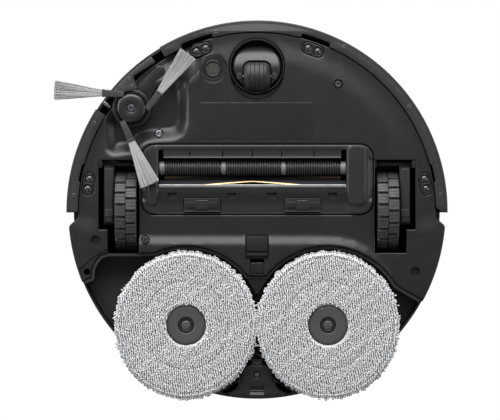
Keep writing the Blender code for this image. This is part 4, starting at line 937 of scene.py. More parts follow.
    def keep(self, node: str, finish: Finish) -> None:
        """Gives a carried-over CAD node its finish."""
        target = self.nodes[node]
        if not target.material_slots:
            target.data.materials.append(None)
        for holder in target.material_slots:
            holder.material = finish.material()


# ---------------------------------------------------------------- sculpted surfaces


class Blend(Enum):
    """How a surface passes from one level to another."""

    STRAIGHT = "straight"
    SMOOTH = "smooth"
    ROUND = "round"

    def at(self, t: np.ndarray) -> np.ndarray:
        """The share of the way there, for shares of the distance."""
        if self is Blend.SMOOTH:
            return t * t * (3.0 - 2.0 * t)
        if self is Blend.ROUND:
            return np.sqrt(np.clip(1.0 - (1.0 - t) ** 2, 0.0, 1.0))
        return t


Level = float | Callable[[np.ndarray], np.ndarray]


@dataclass(frozen=True)
class Dip:
    """A change of level inside an outline, or outside it.

    The change is whole up to `start` from the outline and gone at `end`, both measured outwards.
    """

    outline: Sequence[Point]
    level: Level
    start: float = 0.0
    end: float = 0.35
    blend: Blend = Blend.STRAIGHT
    relative: bool = False
    outside: bool = False


def inside(spots: np.ndarray, outline: Sequence[Point]) -> np.ndarray:
    """Whether each spot lies in a closed outline."""
    a = np.asarray(outline, float)
    b = np.roll(a, -1, axis=0)
    x, y = spots[:, 0][:, None], spots[:, 1][:, None]
    crosses = (a[:, 1] > y) != (b[:, 1] > y)
    rise = np.where(np.abs(b[:, 1] - a[:, 1]) < 1e-12, 1e-12, b[:, 1] - a[:, 1])
    at = a[:, 0] + (y - a[:, 1]) * (b[:, 0] - a[:, 0]) / rise
    return (crosses & (x < at)).sum(axis=1) % 2 == 1


def distance(spots: np.ndarray, outline: Sequence[Point]) -> np.ndarray:
    """Each spot's distance to an outline, negative inside it."""
    a = np.asarray(outline, float)
    run = np.roll(a, -1, axis=0) - a
    away = spots[:, None, :] - a[None]
    share = np.clip((away * run).sum(-1) / np.maximum((run * run).sum(-1), 1e-12), 0.0, 1.0)
    gap = np.linalg.norm(away - share[..., None] * run, axis=-1).min(axis=1)
    return np.where(inside(spots, outline), -gap, gap)


def divided(outline: Sequence[Point], longest: float) -> list[Point]:
    """An outline with points no further apart than a length."""
    made: list[Point] = []
    for (x0, y0), (x1, y1) in zip(outline, [*outline[1:], outline[0]]):
        count = max(1, math.ceil(math.hypot(x1 - x0, y1 - y0) / longest))
        made += [(x0 + (x1 - x0) * k / count, y0 + (y1 - y0) * k / count) for k in range(count)]
    return made


@dataclass
class Relief:
    """A moulding seen from below: an outline with holes, whose lower face is sculpted by dips."""

    outline: Sequence[Point]
    base: float
    top: float
    wall: float = 2.2
    pitch: float = 2.6
    broad: float = 5.0
    holes: list[Sequence[Point]] = field(default_factory=list)
    dips: list[Dip] = field(default_factory=list)
    fine: list[tuple[Point, Point, float]] = field(default_factory=list)

    def hole(self, outline: Sequence[Point], roll: float = 0.6) -> None:
        """Cuts an opening and rounds its edge."""
        self.holes.append(outline)
        if roll:
            self.dips.append(Dip(outline, roll, 0.0, roll * 1.3, Blend.ROUND, relative=True))

    def rim(self, drop: float, width: float) -> None:
        """Rolls the outer edge up by a drop over a width."""
        self.dips.append(Dip(self.outline, drop, -width, 0.0, Blend.STRAIGHT, relative=True, outside=True))

    def height(self, spots: np.ndarray) -> np.ndarray:
        """The lower face's z at each spot."""
        z = np.full(len(spots), self.base)
        for dip in self.dips:
            edge = np.asarray(dip.outline)
            reach = max(dip.end, 0.0) + 0.01
            near = ((spots > edge.min(axis=0) - reach) & (spots < edge.max(axis=0) + reach)).all(axis=1)
            near = np.nonzero(near)[0]
            if not len(near):
                continue
            away = distance(spots[near], dip.outline)
            share = np.clip((away - dip.start) / (dip.end - dip.start), 0.0, 1.0)
            if dip.outside:
                weight = 1.0 - Blend.ROUND.at(1.0 - share)
            else:
                weight = 1.0 - dip.blend.at(share)
            level = dip.level(spots[near]) if callable(dip.level) else dip.level
            z[near] += weight * (level if dip.relative else level - z[near])
        return z

    def rings(self) -> list[list[Point]]:
        """The lines that the mesh keeps: every outline and both ends of every short change of level."""
        made = [divided(self.outline, 2.5)] + [divided(h, 2.0) for h in self.holes]
        for dip in self.dips:
            width = dip.end - dip.start
            offsets = {dip.start, dip.end}
            if dip.blend is not Blend.STRAIGHT or dip.outside:
                offsets |= {dip.start + width * 0.3, dip.start + width * 0.65}
            if width > self.broad:
                offsets = {dip.end}
            made += [divided(grown(dip.outline, at) if at else list(dip.outline), 2.0) for at in sorted(offsets)]
        return made

    def grid(self, lines: Sequence[Sequence[Point]]) -> list[Point]:
        """A field of points that keeps off the lines."""
        edge = np.asarray(self.outline)
        regions = [(tuple(edge.min(axis=0)), tuple(edge.max(axis=0)), self.pitch), *self.fine]
        kept: list[Point] = []
        cell, row_height = 0.8, 0.866
        marks = np.array([p for line in lines for p in divided(line, cell)])
        taken = {(int(x // cell), int(y // cell)) for x, y in marks}
        taken = {(i + a, j + b) for i, j in taken for a in (-1, 0, 1) for b in (-1, 0, 1)}
        for low, high, pitch in regions:
            row = 0
            y = low[1]
            while y < high[1]:
                x = low[0] + (pitch / 2 if row % 2 else 0.0)
                while x < high[0]:
                    if (int(x // cell), int(y // cell)) not in taken:
                        kept.append((x, y))
                    x += pitch
                y += pitch * row_height
                row += 1
        return kept

    def form(self) -> Form:
        """The closed solid between the sculpted face and the top.

        Returns:
            The form.
        """
        lines = self.rings()
        spots: list[Point] = []
        edges: list[tuple[int, int]] = []
        for line in lines:
            start = len(spots)
            spots += line
            edges += [(start + k, start + (k + 1) % len(line)) for k in range(len(line))]
        spots += self.grid(lines)
        found = delaunay_2d_cdt([Vector(p) for p in spots], edges, [], 0, 1e-4, False)
        flat = np.array([(v.x, v.y) for v in found[0]])
        faces = np.array([f for f in found[2] if len(f) == 3])
        centre = flat[faces].mean(axis=1)
        kept = inside(centre, self.outline)
        for hole in self.holes:
            kept &= ~inside(centre, hole)
        faces = faces[kept]
        used, index = np.unique(faces, return_inverse=True)
        faces = index.reshape(-1, 3)
        flat = flat[used]
        low = self.height(flat)
        high = np.maximum(low + self.wall, self.top)
        count = len(flat)
        points = [(x, y, z) for (x, y), z in zip(flat.tolist(), low.tolist())]
        points += [(x, y, z) for (x, y), z in zip(flat.tolist(), high.tolist())]
        solid = [tuple(f[::-1]) for f in faces.tolist()] + [tuple(i + count for i in f) for f in faces.tolist()]
        sides = {(a, b) for f in faces.tolist() for a, b in ((f[0], f[1]), (f[1], f[2]), (f[2], f[0]))}
        solid += [(a, b, b + count, a + count) for a, b in sides if (b, a) not in sides]
        return Form().add(points, solid)


# ---------------------------------------------------------------- underside


@dataclass
class LowerShell:
    """The lower chassis with every hollow and opening that shows from below."""

    belly_inset: float = 13.6
    scoop_floor: float = 21.0
    scoop_slope: float = 14.5
    screw_recess: float = 4.3
    screw_depth: float = 3.4
    groove_depth: float = 0.9

    def scoop(self) -> list[Point]:
        """The hollow that the side brush works in."""
        points = [(-62.4, -170.0), (-57.0, -141.0), (-56.0, -129.3), (-62.0, -118.0), (-60.5, -106.0)]
        points += [(-60.5, -79.0), (-65.5, -68.5), (-75.0, -63.2), (-90.0, -62.6), (-102.0, -60.8)]
        points += [(-108.6, -54.5), (-114.5, -51.0), (-133.0, -48.6), (-140.8, -53.5), (-143.8, -69.7)]
        points += [(-143.2, -85.3), (-146.5, -92.0), (-180.0, -112.0), (-150.0, -170.0), (-100.0, -190.0)]
        return rounded(points, 7.0)

    def lobe(self) -> list[Point]:
        """The sloping ledge in front of the hollow's floor."""
        points = [(-61.0, -172.0), (-57.0, -141.0), (-58.0, -131.0), (-70.0, -123.0), (-88.0, -119.5)]
        points += [(-101.0, -118.0), (-111.5, -124.0), (-118.0, -140.0), (-100.0, -185.0)]
        return rounded(points, 5.0)

    def lobe_level(self, spots: np.ndarray) -> np.ndarray:
        """The ledge rises towards the rim."""
        return 13.2 + np.clip(np.hypot(spots[:, 0], spots[:, 1]) - 138.0, 0.0, 22.0) * 0.36

    def rear_belly(self) -> list[Point]:
        """The raised part in front of the mops."""
        points = [(-107.8, 31.2), (60.0, 31.2), (75.0, 32.2), (88.0, 35.2), (98.5, 40.6), (106.0, 47.5)]
        return [*points, (112.0, 56.0), (118.0, 68.0), (124.0, 90.0), (-107.8, 90.0)]

    def relief(self) -> Relief:
        """The whole shell as one sculpted moulding."""
        relief = Relief(shell_outline(FRONT_WALL_RADIUS, REAR_RADIUS, 160), RIM_Z, 16.6)
        relief.fine = [((-150.0, -160.0), (-54.0, -46.0), 1.7)]
        belly = shell_outline(FRONT_WALL_RADIUS - self.belly_inset, REAR_RADIUS - 4.5, 120)
        tab = rounded(panel((-10.5, 22.0), (10.5, 44.0)), 0.8)
        left_seam = ribbon(
            [(-170.0, 60.0), (-163.7, 55.0), (-158.7, 50.4), (-153.2, 44.9), (-144.0, 39.0), (-136.7, 35.3)], 0.7
        )
        right_seam = ribbon([(125.2, 70.3), (137.0, 77.2), (150.0, 84.6), (156.0, 90.0)], 0.7)
        relief.dips += [
            Dip(belly, BELLY_Z, -15.0, 9.0, Blend.SMOOTH),
            Dip(self.rear_belly(), REAR_BELLY_Z, 0.0, 9.2),
            Dip(self.scoop(), self.scoop_floor, -self.scoop_slope, 0.0, Blend.SMOOTH),
            Dip(self.lobe(), self.lobe_level, -1.0, 11.0, Blend.SMOOTH),
            Dip(tab, 11.6, 0.0, 0.4),
            Dip(circle(24.3, (0.0, -126.6), 64), 14.5, -1.2, 0.6, Blend.SMOOTH),
            Dip(circle(13.2, CARPET_SENSOR, 48), 12.6, -0.8, 0.5, Blend.SMOOTH),
            Dip(panel((-53.0, -100.1), (52.0, -64.9), 2.0), 11.2, -0.1, 0.15),
            Dip(left_seam, self.groove_depth, 0.0, 0.4, relative=True),
            Dip(right_seam, self.groove_depth, 0.0, 0.4, relative=True),
        ]
        for x, y, _ in BODY_SCREWS:
            recess = circle(self.screw_recess, (x, y), 32)
            relief.dips.append(Dip(recess, self.screw_depth, -0.3, 0.15, relative=True))
        relief.hole(guard_outline(0.5), 0.9)
        for side in Side:
            relief.hole(well_outline(side), 0.7)
        relief.hole(circle(25.7, (0.0, CASTER_Y), 72), 0.8)
        for place in CLIFF_PLACES.values():
            relief.hole(cliff_outline(place, 0.4), 0.6)
        relief.hole(circle(8.6, CARPET_SENSOR, 40), 0.3)
        relief.hole(panel((-6.6, 43.9), (6.6, 57.7), 0.8), 0.5)
        relief.hole(circle(3.0, (-155.9, 55.9), 24), 0.3)
        relief.hole(circle(2.3, (133.0, 98.3), 24), 0.3)
        relief.hole(grown(mop_bay_outline(), 2.8), 1.6)
        relief.rim(0.7, 0.9)
        return relief

    def ears(self) -> Form:
        """The lugs in the wheel wells that hold the arms' hinge pins."""
        form = Form()
        for side in Side:
            for inner, outer in ((107.4, 109.8), (142.4, 147.0)):
                low, high = sorted((side.value * inner, side.value * outer))
                form.block((low, -49.0, 13.8), (high, -39.5, 28.0), 0.6)
        return form

    def tab(self) -> Form:
        """The hooked tab behind the roller bay."""
        form = Form().block((-9.6, 22.8, 8.6), (9.6, 36.6, 12.0), 0.5)
        form.block((-9.6, 38.4, 8.2), (9.6, 41.2, 12.2), 0.4)
        return form.block((-8.0, 60.6, 12.0), (8.0, 64.0, 17.0), 0.8)

    def build(self, bench: Bench) -> None:
        """Makes the shell, its tab and its screws."""
        bench.piece(
            "lower_shell", self.relief().form().form(self.ears()), "chassis", Finishes.FLOOR_SHELL, ["base_plate"]
        )
        bench.piece("service_tab", self.tab(), "chassis", Finishes.SATIN)
        head = screw_head(3.2)
        dark = [Spot(place, (0.0, 0.0, place[0])) for place in BODY_SCREWS if place is not HOLLOW_SCREW]
        bench.scatter("body_screws", head, dark, "chassis", Finishes.SCREW)
        bright = [Spot(HOLLOW_SCREW, (0.0, 0.0, HOLLOW_SCREW[0]))]
        bench.scatter("hollow_screw", head, bright, "chassis", Finishes.STEEL)


def screw_head(radius: float) -> Form:
    """A pan-head screw seen from below, with a cross recess, its origin in the middle of its lower face."""
    deep, half, arm = 0.9, radius * 0.13, radius * 0.55
    cross = [(half, half), (arm, half), (arm, -half), (half, -half), (half, -arm), (-half, -arm)]
    cross += [(-half, -half), (-arm, -half), (-arm, half), (-half, half), (-half, arm), (half, arm)]
    form = Form().plate([circle(radius, steps=24), cross[::-1]], 0.0, deep, 0.25)
    return form.plate([circle(radius * 0.9, steps=16)], deep * 0.9, 2.0, 0.1)


@dataclass
class Sensors:
    """Cliff sensors, the carpet sensor and the blank label."""

    lens_radius: float = 3.5
    lens_gap: float = 4.6

    def cliff(self, place: Point) -> tuple[Form, Form]:
        """A sensor's housing and its two lenses."""
        along = math.degrees(math.atan2(place[1], place[0])) + 90.0
        spots = [polar(self.lens_gap * s, along, place) for s in (-1, 1)]
        wells = [circle(self.lens_radius + 0.35, spot, 28) for spot in spots]
        housing = Form().plate([cliff_outline(place, -0.2), *wells], 13.5, 15.4, 0.35)
        housing.plate([cliff_outline(place, -0.4)], 15.2, 16.6, 0.1)
        bar = capsule(place, 8.0, 0.9, along + 90.0)
        housing.plate([bar], 13.1, 14.2, 0.25)
        lenses = Form()
        for spot in spots:
            dome = [
                (0.0, 13.3), (1.2, 13.45), (2.1, 13.9), (self.lens_radius, 14.7), (self.lens_radius, 15.3),
                (0.0, 15.3),
            ]
            lenses.turned(dome, (*spot, 0.0), steps=28)
        return housing, lenses

    def build(self, bench: Bench) -> None:
        """Makes every sensor and the label."""
        for name, place in CLIFF_PLACES.items():
            housing, lenses = self.cliff(place)
            bench.piece(name + "_housing", housing, "chassis", Finishes.SATIN, [name])
            bench.piece(name + "_lenses", lenses, "chassis", Finishes.LENS)
        centre = (*CARPET_SENSOR, 0.0)
        ring = softened([(8.2, 16.0), (8.2, 11.9), (6.6, 11.7), (6.2, 12.4), (6.2, 13.2)], 0.4)
        bench.piece(
            "carpet_sensor_ring",
            Form().turned(ring, centre, closed=True),
            "chassis",
            Finishes.SATIN,
            ["carpet_sensor"],
        )
        disc = [(0.0, 12.7), (3.0, 12.72), (6.1, 12.85), (6.3, 13.4), (0.0, 13.4)]
        bench.piece("carpet_sensor_gauze", Form().turned(disc, centre), "chassis", Finishes.GAUZE)
        film = panel((-52.7, -99.8), (51.7, -65.2), 2.0)
        bench.piece(
            "blank_label", Form().plate([film], 10.95, 11.4, 0.05), "chassis", Finishes.FILM, ["rating_label"]
        )


@dataclass
class Bumper:
    """The sprung front shell: a thin wall with a lip underneath, notched for the brush arm."""

    inner: float = 172.6
    lip_inner: float = 164.5
    low: float = 11.5
    high: float = 76.6
    notch: tuple[float, float] = (-147.7, -120.8)
    screws: Sequence[Point] = (
        (-37.6, -164.4), (79.8, -150.5), (139.6, -95.4), (168.6, -14.8), (-149.5, -80.4), (-167.8, -14.2)
    )

    def build(self, bench: Bench) -> None:
        """Makes the shell, its window, its band and its screws."""
        start, end = -180.46, 0.46
        gap = Form().plate([sector(150.0, 200.0, *self.notch, 24)], 0.0, 24.0, 0.0001)
        window = Form().plate([sector(150.0, 200.0, -110.0, -70.0, 32)], 45.0, 65.0, 0.0001)
        wall = Form().plate([sector(self.inner, BUMPER_RADIUS, start, end, 160)], self.low, self.high, 0.9, rounds=2)
        shell = carved(wall, [gap, window])
        shell.form(carved(Form().plate([self.lip(start, end)], self.low + 0.1, self.low + 2.0, 0.5), [gap]))
        rail = Form().plate([sector(174.6, 175.25, start + 1.0, end - 1.0, 160)], 26.5, 28.6, 0.25)
        bench.piece("bumper_shell", shell, "bumper", Finishes.BAND, ["bumper"])
        bench.piece("bumper_rail", rail, "bumper", Finishes.SHELL)
        line = [
            sector(172.4, 172.9, -180.2, self.notch[0] - 0.6, 24), sector(172.4, 172.9, self.notch[1] + 0.6, 0.2, 96)
        ]
        seam = Form()
        for part in line:
            seam.plate([part], self.low - 0.12, self.low + 0.3, 0.1)
        bench.piece("bumper_bead", seam, "bumper", Finishes.DEEP)
        pane = Form().plate([sector(172.8, 174.9, -109.8, -70.2, 40)], 45.3, 64.7, 0.3)
        bench.piece("front_window", pane, "bumper", Finishes.WINDOW, ["sensor_window"])
        eye = [(0.0, 0.2), (2.6, 0.2), (3.2, -0.6), (3.2, -1.6), (0.0, -1.6)]
        eyes = Form()
        for angle in (-104.0, -97.0, -83.0, -76.0):
            at = Matrix.Rotation(math.radians(angle), 4, "Z") @ Matrix.Translation((172.55, 0.0, 55.0))
            eyes.form(Form().turned(eye, axis=Axis.X, steps=24), at)
        bench.piece("window_emitters", eyes, "bumper", Finishes.LENS)
        spots = [Spot((x, y, self.low - 0.25), (0.0, 0.0, x)) for x, y in self.screws]
        bench.scatter("band_screws", screw_head(1.9), spots, "bumper", Finishes.SCREW)

    def lip(self, start: float, end: float) -> list[Point]:
        """The flat underside, its inner corner cut back at the +x end."""
        outer = arc(174.4, start + 0.1, end - 0.1, 160)
        inner = [(169.5, 1.0), (164.8, -3.0)]
        at = -1.6
        for high, low, deep in (
            (-9.2, -15.1, 1.6), (-66.2, -75.9, 3.5), (-104.1, -114.8, 3.5), (-164.9, -170.8, 1.6)
        ):
            inner += arc(self.lip_inner, at, high, 40) + arc(self.lip_inner + deep, high - 0.3, low + 0.3, 12)
            at = low
        return outer + inner + arc(self.lip_inner, at, start + 0.1, 24)


def carved(form: Form, tools: Sequence[Form]) -> Form:
    """A form with other forms cut out of it.

    Args:
        form: what is cut.
        tools: closed forms.

    Returns:
        What is left.
    """
    target = bpy.data.objects.new("carved", form.mesh("carved"))
    bpy.context.scene.collection.objects.link(target)
    holders = []
    for tool in tools:
        holder = bpy.data.objects.new("tool", tool.mesh("tool"))
        holders.append(holder)
        step = target.modifiers.new("cut", "BOOLEAN")
        step.operation, step.object, step.solver = "DIFFERENCE", holder, "EXACT"
    graph = bpy.context.evaluated_depsgraph_get()
    made = Form().take(bpy.data.meshes.new_from_object(target.evaluated_get(graph)))
    for holder in [target, *holders]:
        bpy.data.objects.remove(holder, do_unlink=True)
    return made


# ---------------------------------------------------------------- side brush and caster


@dataclass
class SideBrush:
    """The swing arm, the hub with three rubber sleeves, and a fan of bristles in each."""

    pivot: Point = (-90.0, -128.5)
    roots: tuple[float, float, float] = (207.7, -29.3, 90.0)
    root_reach: float = 30.0
    tip_reach: float = 72.0
    sweep: float = 14.3
    hub_low: float = 4.2
    strands: int = 230
    spread: float = 7.6
    droop: float = 0.072

    def arm(self) -> Form:
        """The ring round the hub and the hidden lever to the pivot."""
        form = Form().plate([circle(17.6, BRUSH_HUB, 64)], 14.9, 21.8, 0.8)
        ring = softened([(13.9, 16.0), (13.9, 12.5), (14.5, 12.0), (16.9, 12.0), (17.8, 12.9), (17.8, 16.0)], 0.4)
        form.turned(ring, (*BRUSH_HUB, 0.0), steps=96, closed=True)
        lever = circle(5.6, self.pivot, 24) + circle(9.0, BRUSH_HUB, 32)
        form.plate([[lever[i] for i in convex_hull_2d(lever)]], 18.0, 21.8, 0.6)
        return form.turned(
            [(0.0, 21.0), (3.9, 21.0), (3.9, 26.4), (3.4, 27.0), (0.0, 27.0)], (*self.pivot, 0.0), steps=32
        )

    def flange(self) -> Form:
        """The flat that fills the gap in the bumper's lip."""
        outline = arc(171.6, -140.4, -124.4, 12) + [(-93.0, -136.6), (-113.6, -123.6), (-109.6, -112.2)]
        outline += [(-116.6, -107.6), (-125.0, -106.6), (-130.2, -108.2)]
        return Form().plate([rounded(outline, 1.2, 2)], 12.0, 15.2, 0.6, rounds=2)

    def hub(self) -> Form:
        """The hub's shallow dome with its screw recess."""
        low = self.hub_low
        face = [(0.0, low + 3.6), (3.8, low + 3.6), (3.8, low + 0.9), (4.5, low + 0.35), (8.0, low + 0.05)]
        face += [(11.2, low + 0.3), (12.7, low + 1.2), (13.3, low + 2.8), (13.3, low + 7.4), (0.0, low + 7.4)]
        return Form().turned(softened(face, 0.6), (*BRUSH_HUB, 0.0), steps=96)

    def frames(self) -> list[tuple[Matrix, float]]:
        """Where each sleeve ends and its tuft starts, pointing along it, with the tuft's length."""
        made = []
        for angle in self.roots:
            root = polar(self.root_reach, angle, BRUSH_HUB)
            tip = polar(self.tip_reach, angle - self.sweep, BRUSH_HUB)
            heading = math.atan2(tip[1] - root[1], tip[0] - root[0])
            length = math.hypot(tip[0] - root[0], tip[1] - root[1])
            made.append((Matrix.Translation((*root, 0.0)) @ Matrix.Rotation(heading, 4, "Z"), length))
        return made

    def sleeve(self) -> Form:
        """One ribbed rubber sleeve, its outer end at x = 0."""
        low, high = self.hub_low + 0.5, self.hub_low + 4.4
        outline = [(-20.0, -2.7), (-5.0, -3.1), (0.0, -3.4), (0.0, 3.4), (-5.0, 3.1), (-20.0, 2.7)]
        form = Form().plate([outline], low, high, 1.1, rounds=2)
        for k in range(5):
            x = -4.6 - 2.0 * k
            form.plate(
                [panel((x - 0.45, -3.45 + 0.05 * k), (x + 0.45, 3.45 - 0.05 * k), 0.3)], low - 0.25, high + 0.2, 0.3
            )
        return form.plate([panel((-2.2, -3.6), (0.1, 3.6), 0.7)], low - 0.3, high + 0.3, 0.5)

    def tuft(self, bench: Bench, frame: Matrix, length: float, seed: int) -> Form:
        """A flat fan of separate filaments."""
        rng = np.random.default_rng(seed)
        heading = frame.to_euler().z
        middle = self.hub_low + 2.5
        path = [(0.0, 0.0, 0.0), (0.35, 0.0, 0.004), (0.7, 0.0, 0.0), (1.0, 0.0, -0.012)]
        strand = Form().tube(path, [0.0066, 0.0066, 0.006, 0.0048], 5)
        spots = []
        for k in range(self.strands):
            across = (k + 0.5) / self.strands * 2 - 1 + rng.normal(0.0, 0.02)
            up = rng.uniform(-1.0, 1.0)
            at = frame @ Vector((-1.0, across * 2.6, middle + up * 1.1))
            roll, lift = rng.uniform(-0.5, 0.5), self.droop - up * 0.016 + rng.normal(0.0, 0.006)
            turn = (roll, lift, heading + math.radians(self.spread * across + rng.normal(0.0, 0.5)))
            reach = (length + 1.0) * (1.0 + rng.normal(0.0, 0.008))
            spots.append(Spot(tuple(at), turn, (reach, 42.0, 42.0)))
        half = 2.2
        wide = half + length * math.tan(math.radians(self.spread)) - 0.5
        core = [(-1.0, -half), (length - 1.5, -wide), (length - 1.5, wide), (-1.0, half)]
        lean = frame @ Matrix.Translation((0.0, 0.0, middle)) @ Matrix.Rotation(self.droop, 4, "Y")
        return bench.repeated(strand, spots, Finishes.BRISTLES).plate([core], -0.3, 0.3, 0.1, lean)

    def build(self, bench: Bench) -> None:
        """Makes the arm, the hub, its screw and the three tufts."""
        bench.piece("swing_arm", self.arm(), "side_brush_arm", Finishes.SATIN, ["side_brush_arm"])
        bench.piece("swing_flange", self.flange(), "side_brush_arm", Finishes.BAND)
        spots = [Spot((-117.4, -121.1, 11.75)), Spot((-114.6, -114.6, 11.75), (0.0, 0.0, 0.7))]
        bench.scatter("flange_screws", screw_head(1.8), spots, "side_brush_arm", Finishes.SCREW)
        bench.piece("brush_hub", self.hub(), "side_brush", Finishes.SATIN, ["side_brush_hub"])
        sleeves = Form()
        for number, (frame, length) in enumerate(self.frames()):
            sleeves.form(self.sleeve(), frame)
            tuft = self.tuft(bench, frame, length, 11 + number)
            bench.piece(
                f"bristles_{number + 1}", tuft, "side_brush", Finishes.BRISTLES, [f"bristle_tuft_{number + 1}"]
            )
        bench.piece("brush_sleeves", sleeves, "side_brush", Finishes.SLEEVE)
        ring = [(1.2, -0.2), (1.5, -0.3), (1.8, 0.0), (1.5, 0.3), (1.2, 0.2)]
        coil = Form().turned(ring, axis=Axis.X, steps=16, closed=True)
        along = math.radians(34.8)
        spots = [Spot((-141.2 + 0.66 * k, -99.6 + 0.46 * k, 15.6), (0.0, 0.0, along)) for k in range(10)]
        bench.scatter("arm_spring", coil, spots, "side_brush_arm", Finishes.STEEL)
        seat = [Spot((*BRUSH_HUB, self.hub_low + 0.9), (0.0, 0.0, 0.5))]
        bench.scatter("hub_screw", screw_head(3.4), seat, "side_brush", Finishes.SCREW, ["side_brush_screw"])


@dataclass
class Caster:
    """The front caster: its cup, the swivelling dome, the wheel and the axle with its clips."""

    y: float = CASTER_Y
    trail: float = 9.6
    radius: float = 13.5
    width: float = 24.8
    dome: float = 21.8

    def nose_level(self, spots: np.ndarray) -> np.ndarray:
        """The dome curves up towards the front like a drum that lies across."""
        return 8.0 + np.clip(-129.0 - spots[:, 1], 0.0, 30.0) ** 2 * 0.021

    def dome_form(self) -> Form:
        """The dome with the slot that the wheel runs in, and the stem that it turns on."""
        relief = Relief(circle(self.dome, (0.0, self.y), 96), 8.0, 33.6, 20.0, 1.8)
        relief.dips.append(Dip(circle(40.0, (0.0, self.y), 12), self.nose_level, 0.0, 1.0))
        relief.rim(2.2, 2.4)
        half, middle = self.width / 2 + 0.6, self.y + self.trail
        relief.hole(panel((-half, middle - self.radius - 0.8), (half, self.y + 40.0), 7.0), 0.6)
        form = relief.form()
        form.turned(
            [(0.0, 38.0), (4.9, 38.0), (4.9, 33.6), (21.6, 33.6), (21.6, 28.6), (0.0, 28.6)],
            (0.0, self.y, 0.0),
            steps=64,
        )
        return form

    def clips(self) -> Form:
        """The two caps over the axle's ends."""
        form = Form()
        middle = self.y + self.trail
        for s in (-1, 1):
            low, high = sorted((s * 13.6, s * 18.4))
            form.plate([panel((low, middle - 3.0), (high, middle + 3.0), 0.9)], 7.4, 10.6, 0.5)
        return form

    def build(self, bench: Bench) -> None:
        """Makes the cup, the dome, the wheel and the axle."""
        cup = [
            (5.4, 36.2), (25.0, 36.2), (25.3, 35.6), (25.3, 11.9), (24.8, 11.1), (24.0, 11.2), (23.6, 12.0),
            (23.6, 34.0), (5.4, 34.0),
        ]
        bench.piece(
            "caster_cup",
            Form().turned(cup, (0.0, self.y, 0.0), steps=96, closed=True),
            "chassis",
            Finishes.SATIN,
            ["caster_socket"],
        )
        bench.piece("caster_dome", self.dome_form(), "caster_fork", Finishes.SATIN, ["caster_yoke"])
        bench.piece("caster_clips", self.clips(), "caster_fork", Finishes.DEEP)
        centre = (0.0, self.y + self.trail, self.radius)
        half, r = self.width / 2, self.radius
        tread = [
            (1.6, half - 1.0), (r - 5.6, half - 1.0), (r - 5.0, half), (r - 3.4, half - 0.3), (r - 1.5, half - 1.7),
            (r, half - 4.6),
        ]
        for x in (6.2, 2.1, -2.1, -6.2):
            tread += [(r, x + 0.35), (r - 0.35, x), (r, x - 0.35)]
        tread += [
            (r, 4.6 - half), (r - 1.5, 1.7 - half), (r - 3.4, 0.3 - half), (r - 5.0, -half), (r - 5.6, 1.0 - half),
            (1.6, 1.0 - half),
        ]
        wheel = Form().turned(tread, centre, Axis.X, 72, closed=True)
        bench.piece("caster_roller", wheel, "caster_wheel", Finishes.WHEEL_RUBBER, ["caster_wheel"])
        pin = [(0.0, 16.4), (1.2, 16.4), (1.5, 16.0), (1.5, -16.0), (1.2, -16.4), (0.0, -16.4)]
        bench.piece(
            "caster_pin", Form().turned(pin, centre, Axis.X, 28), "caster_fork", Finishes.STEEL, ["caster_axle"]
        )


# ---------------------------------------------------------------- drive wheels


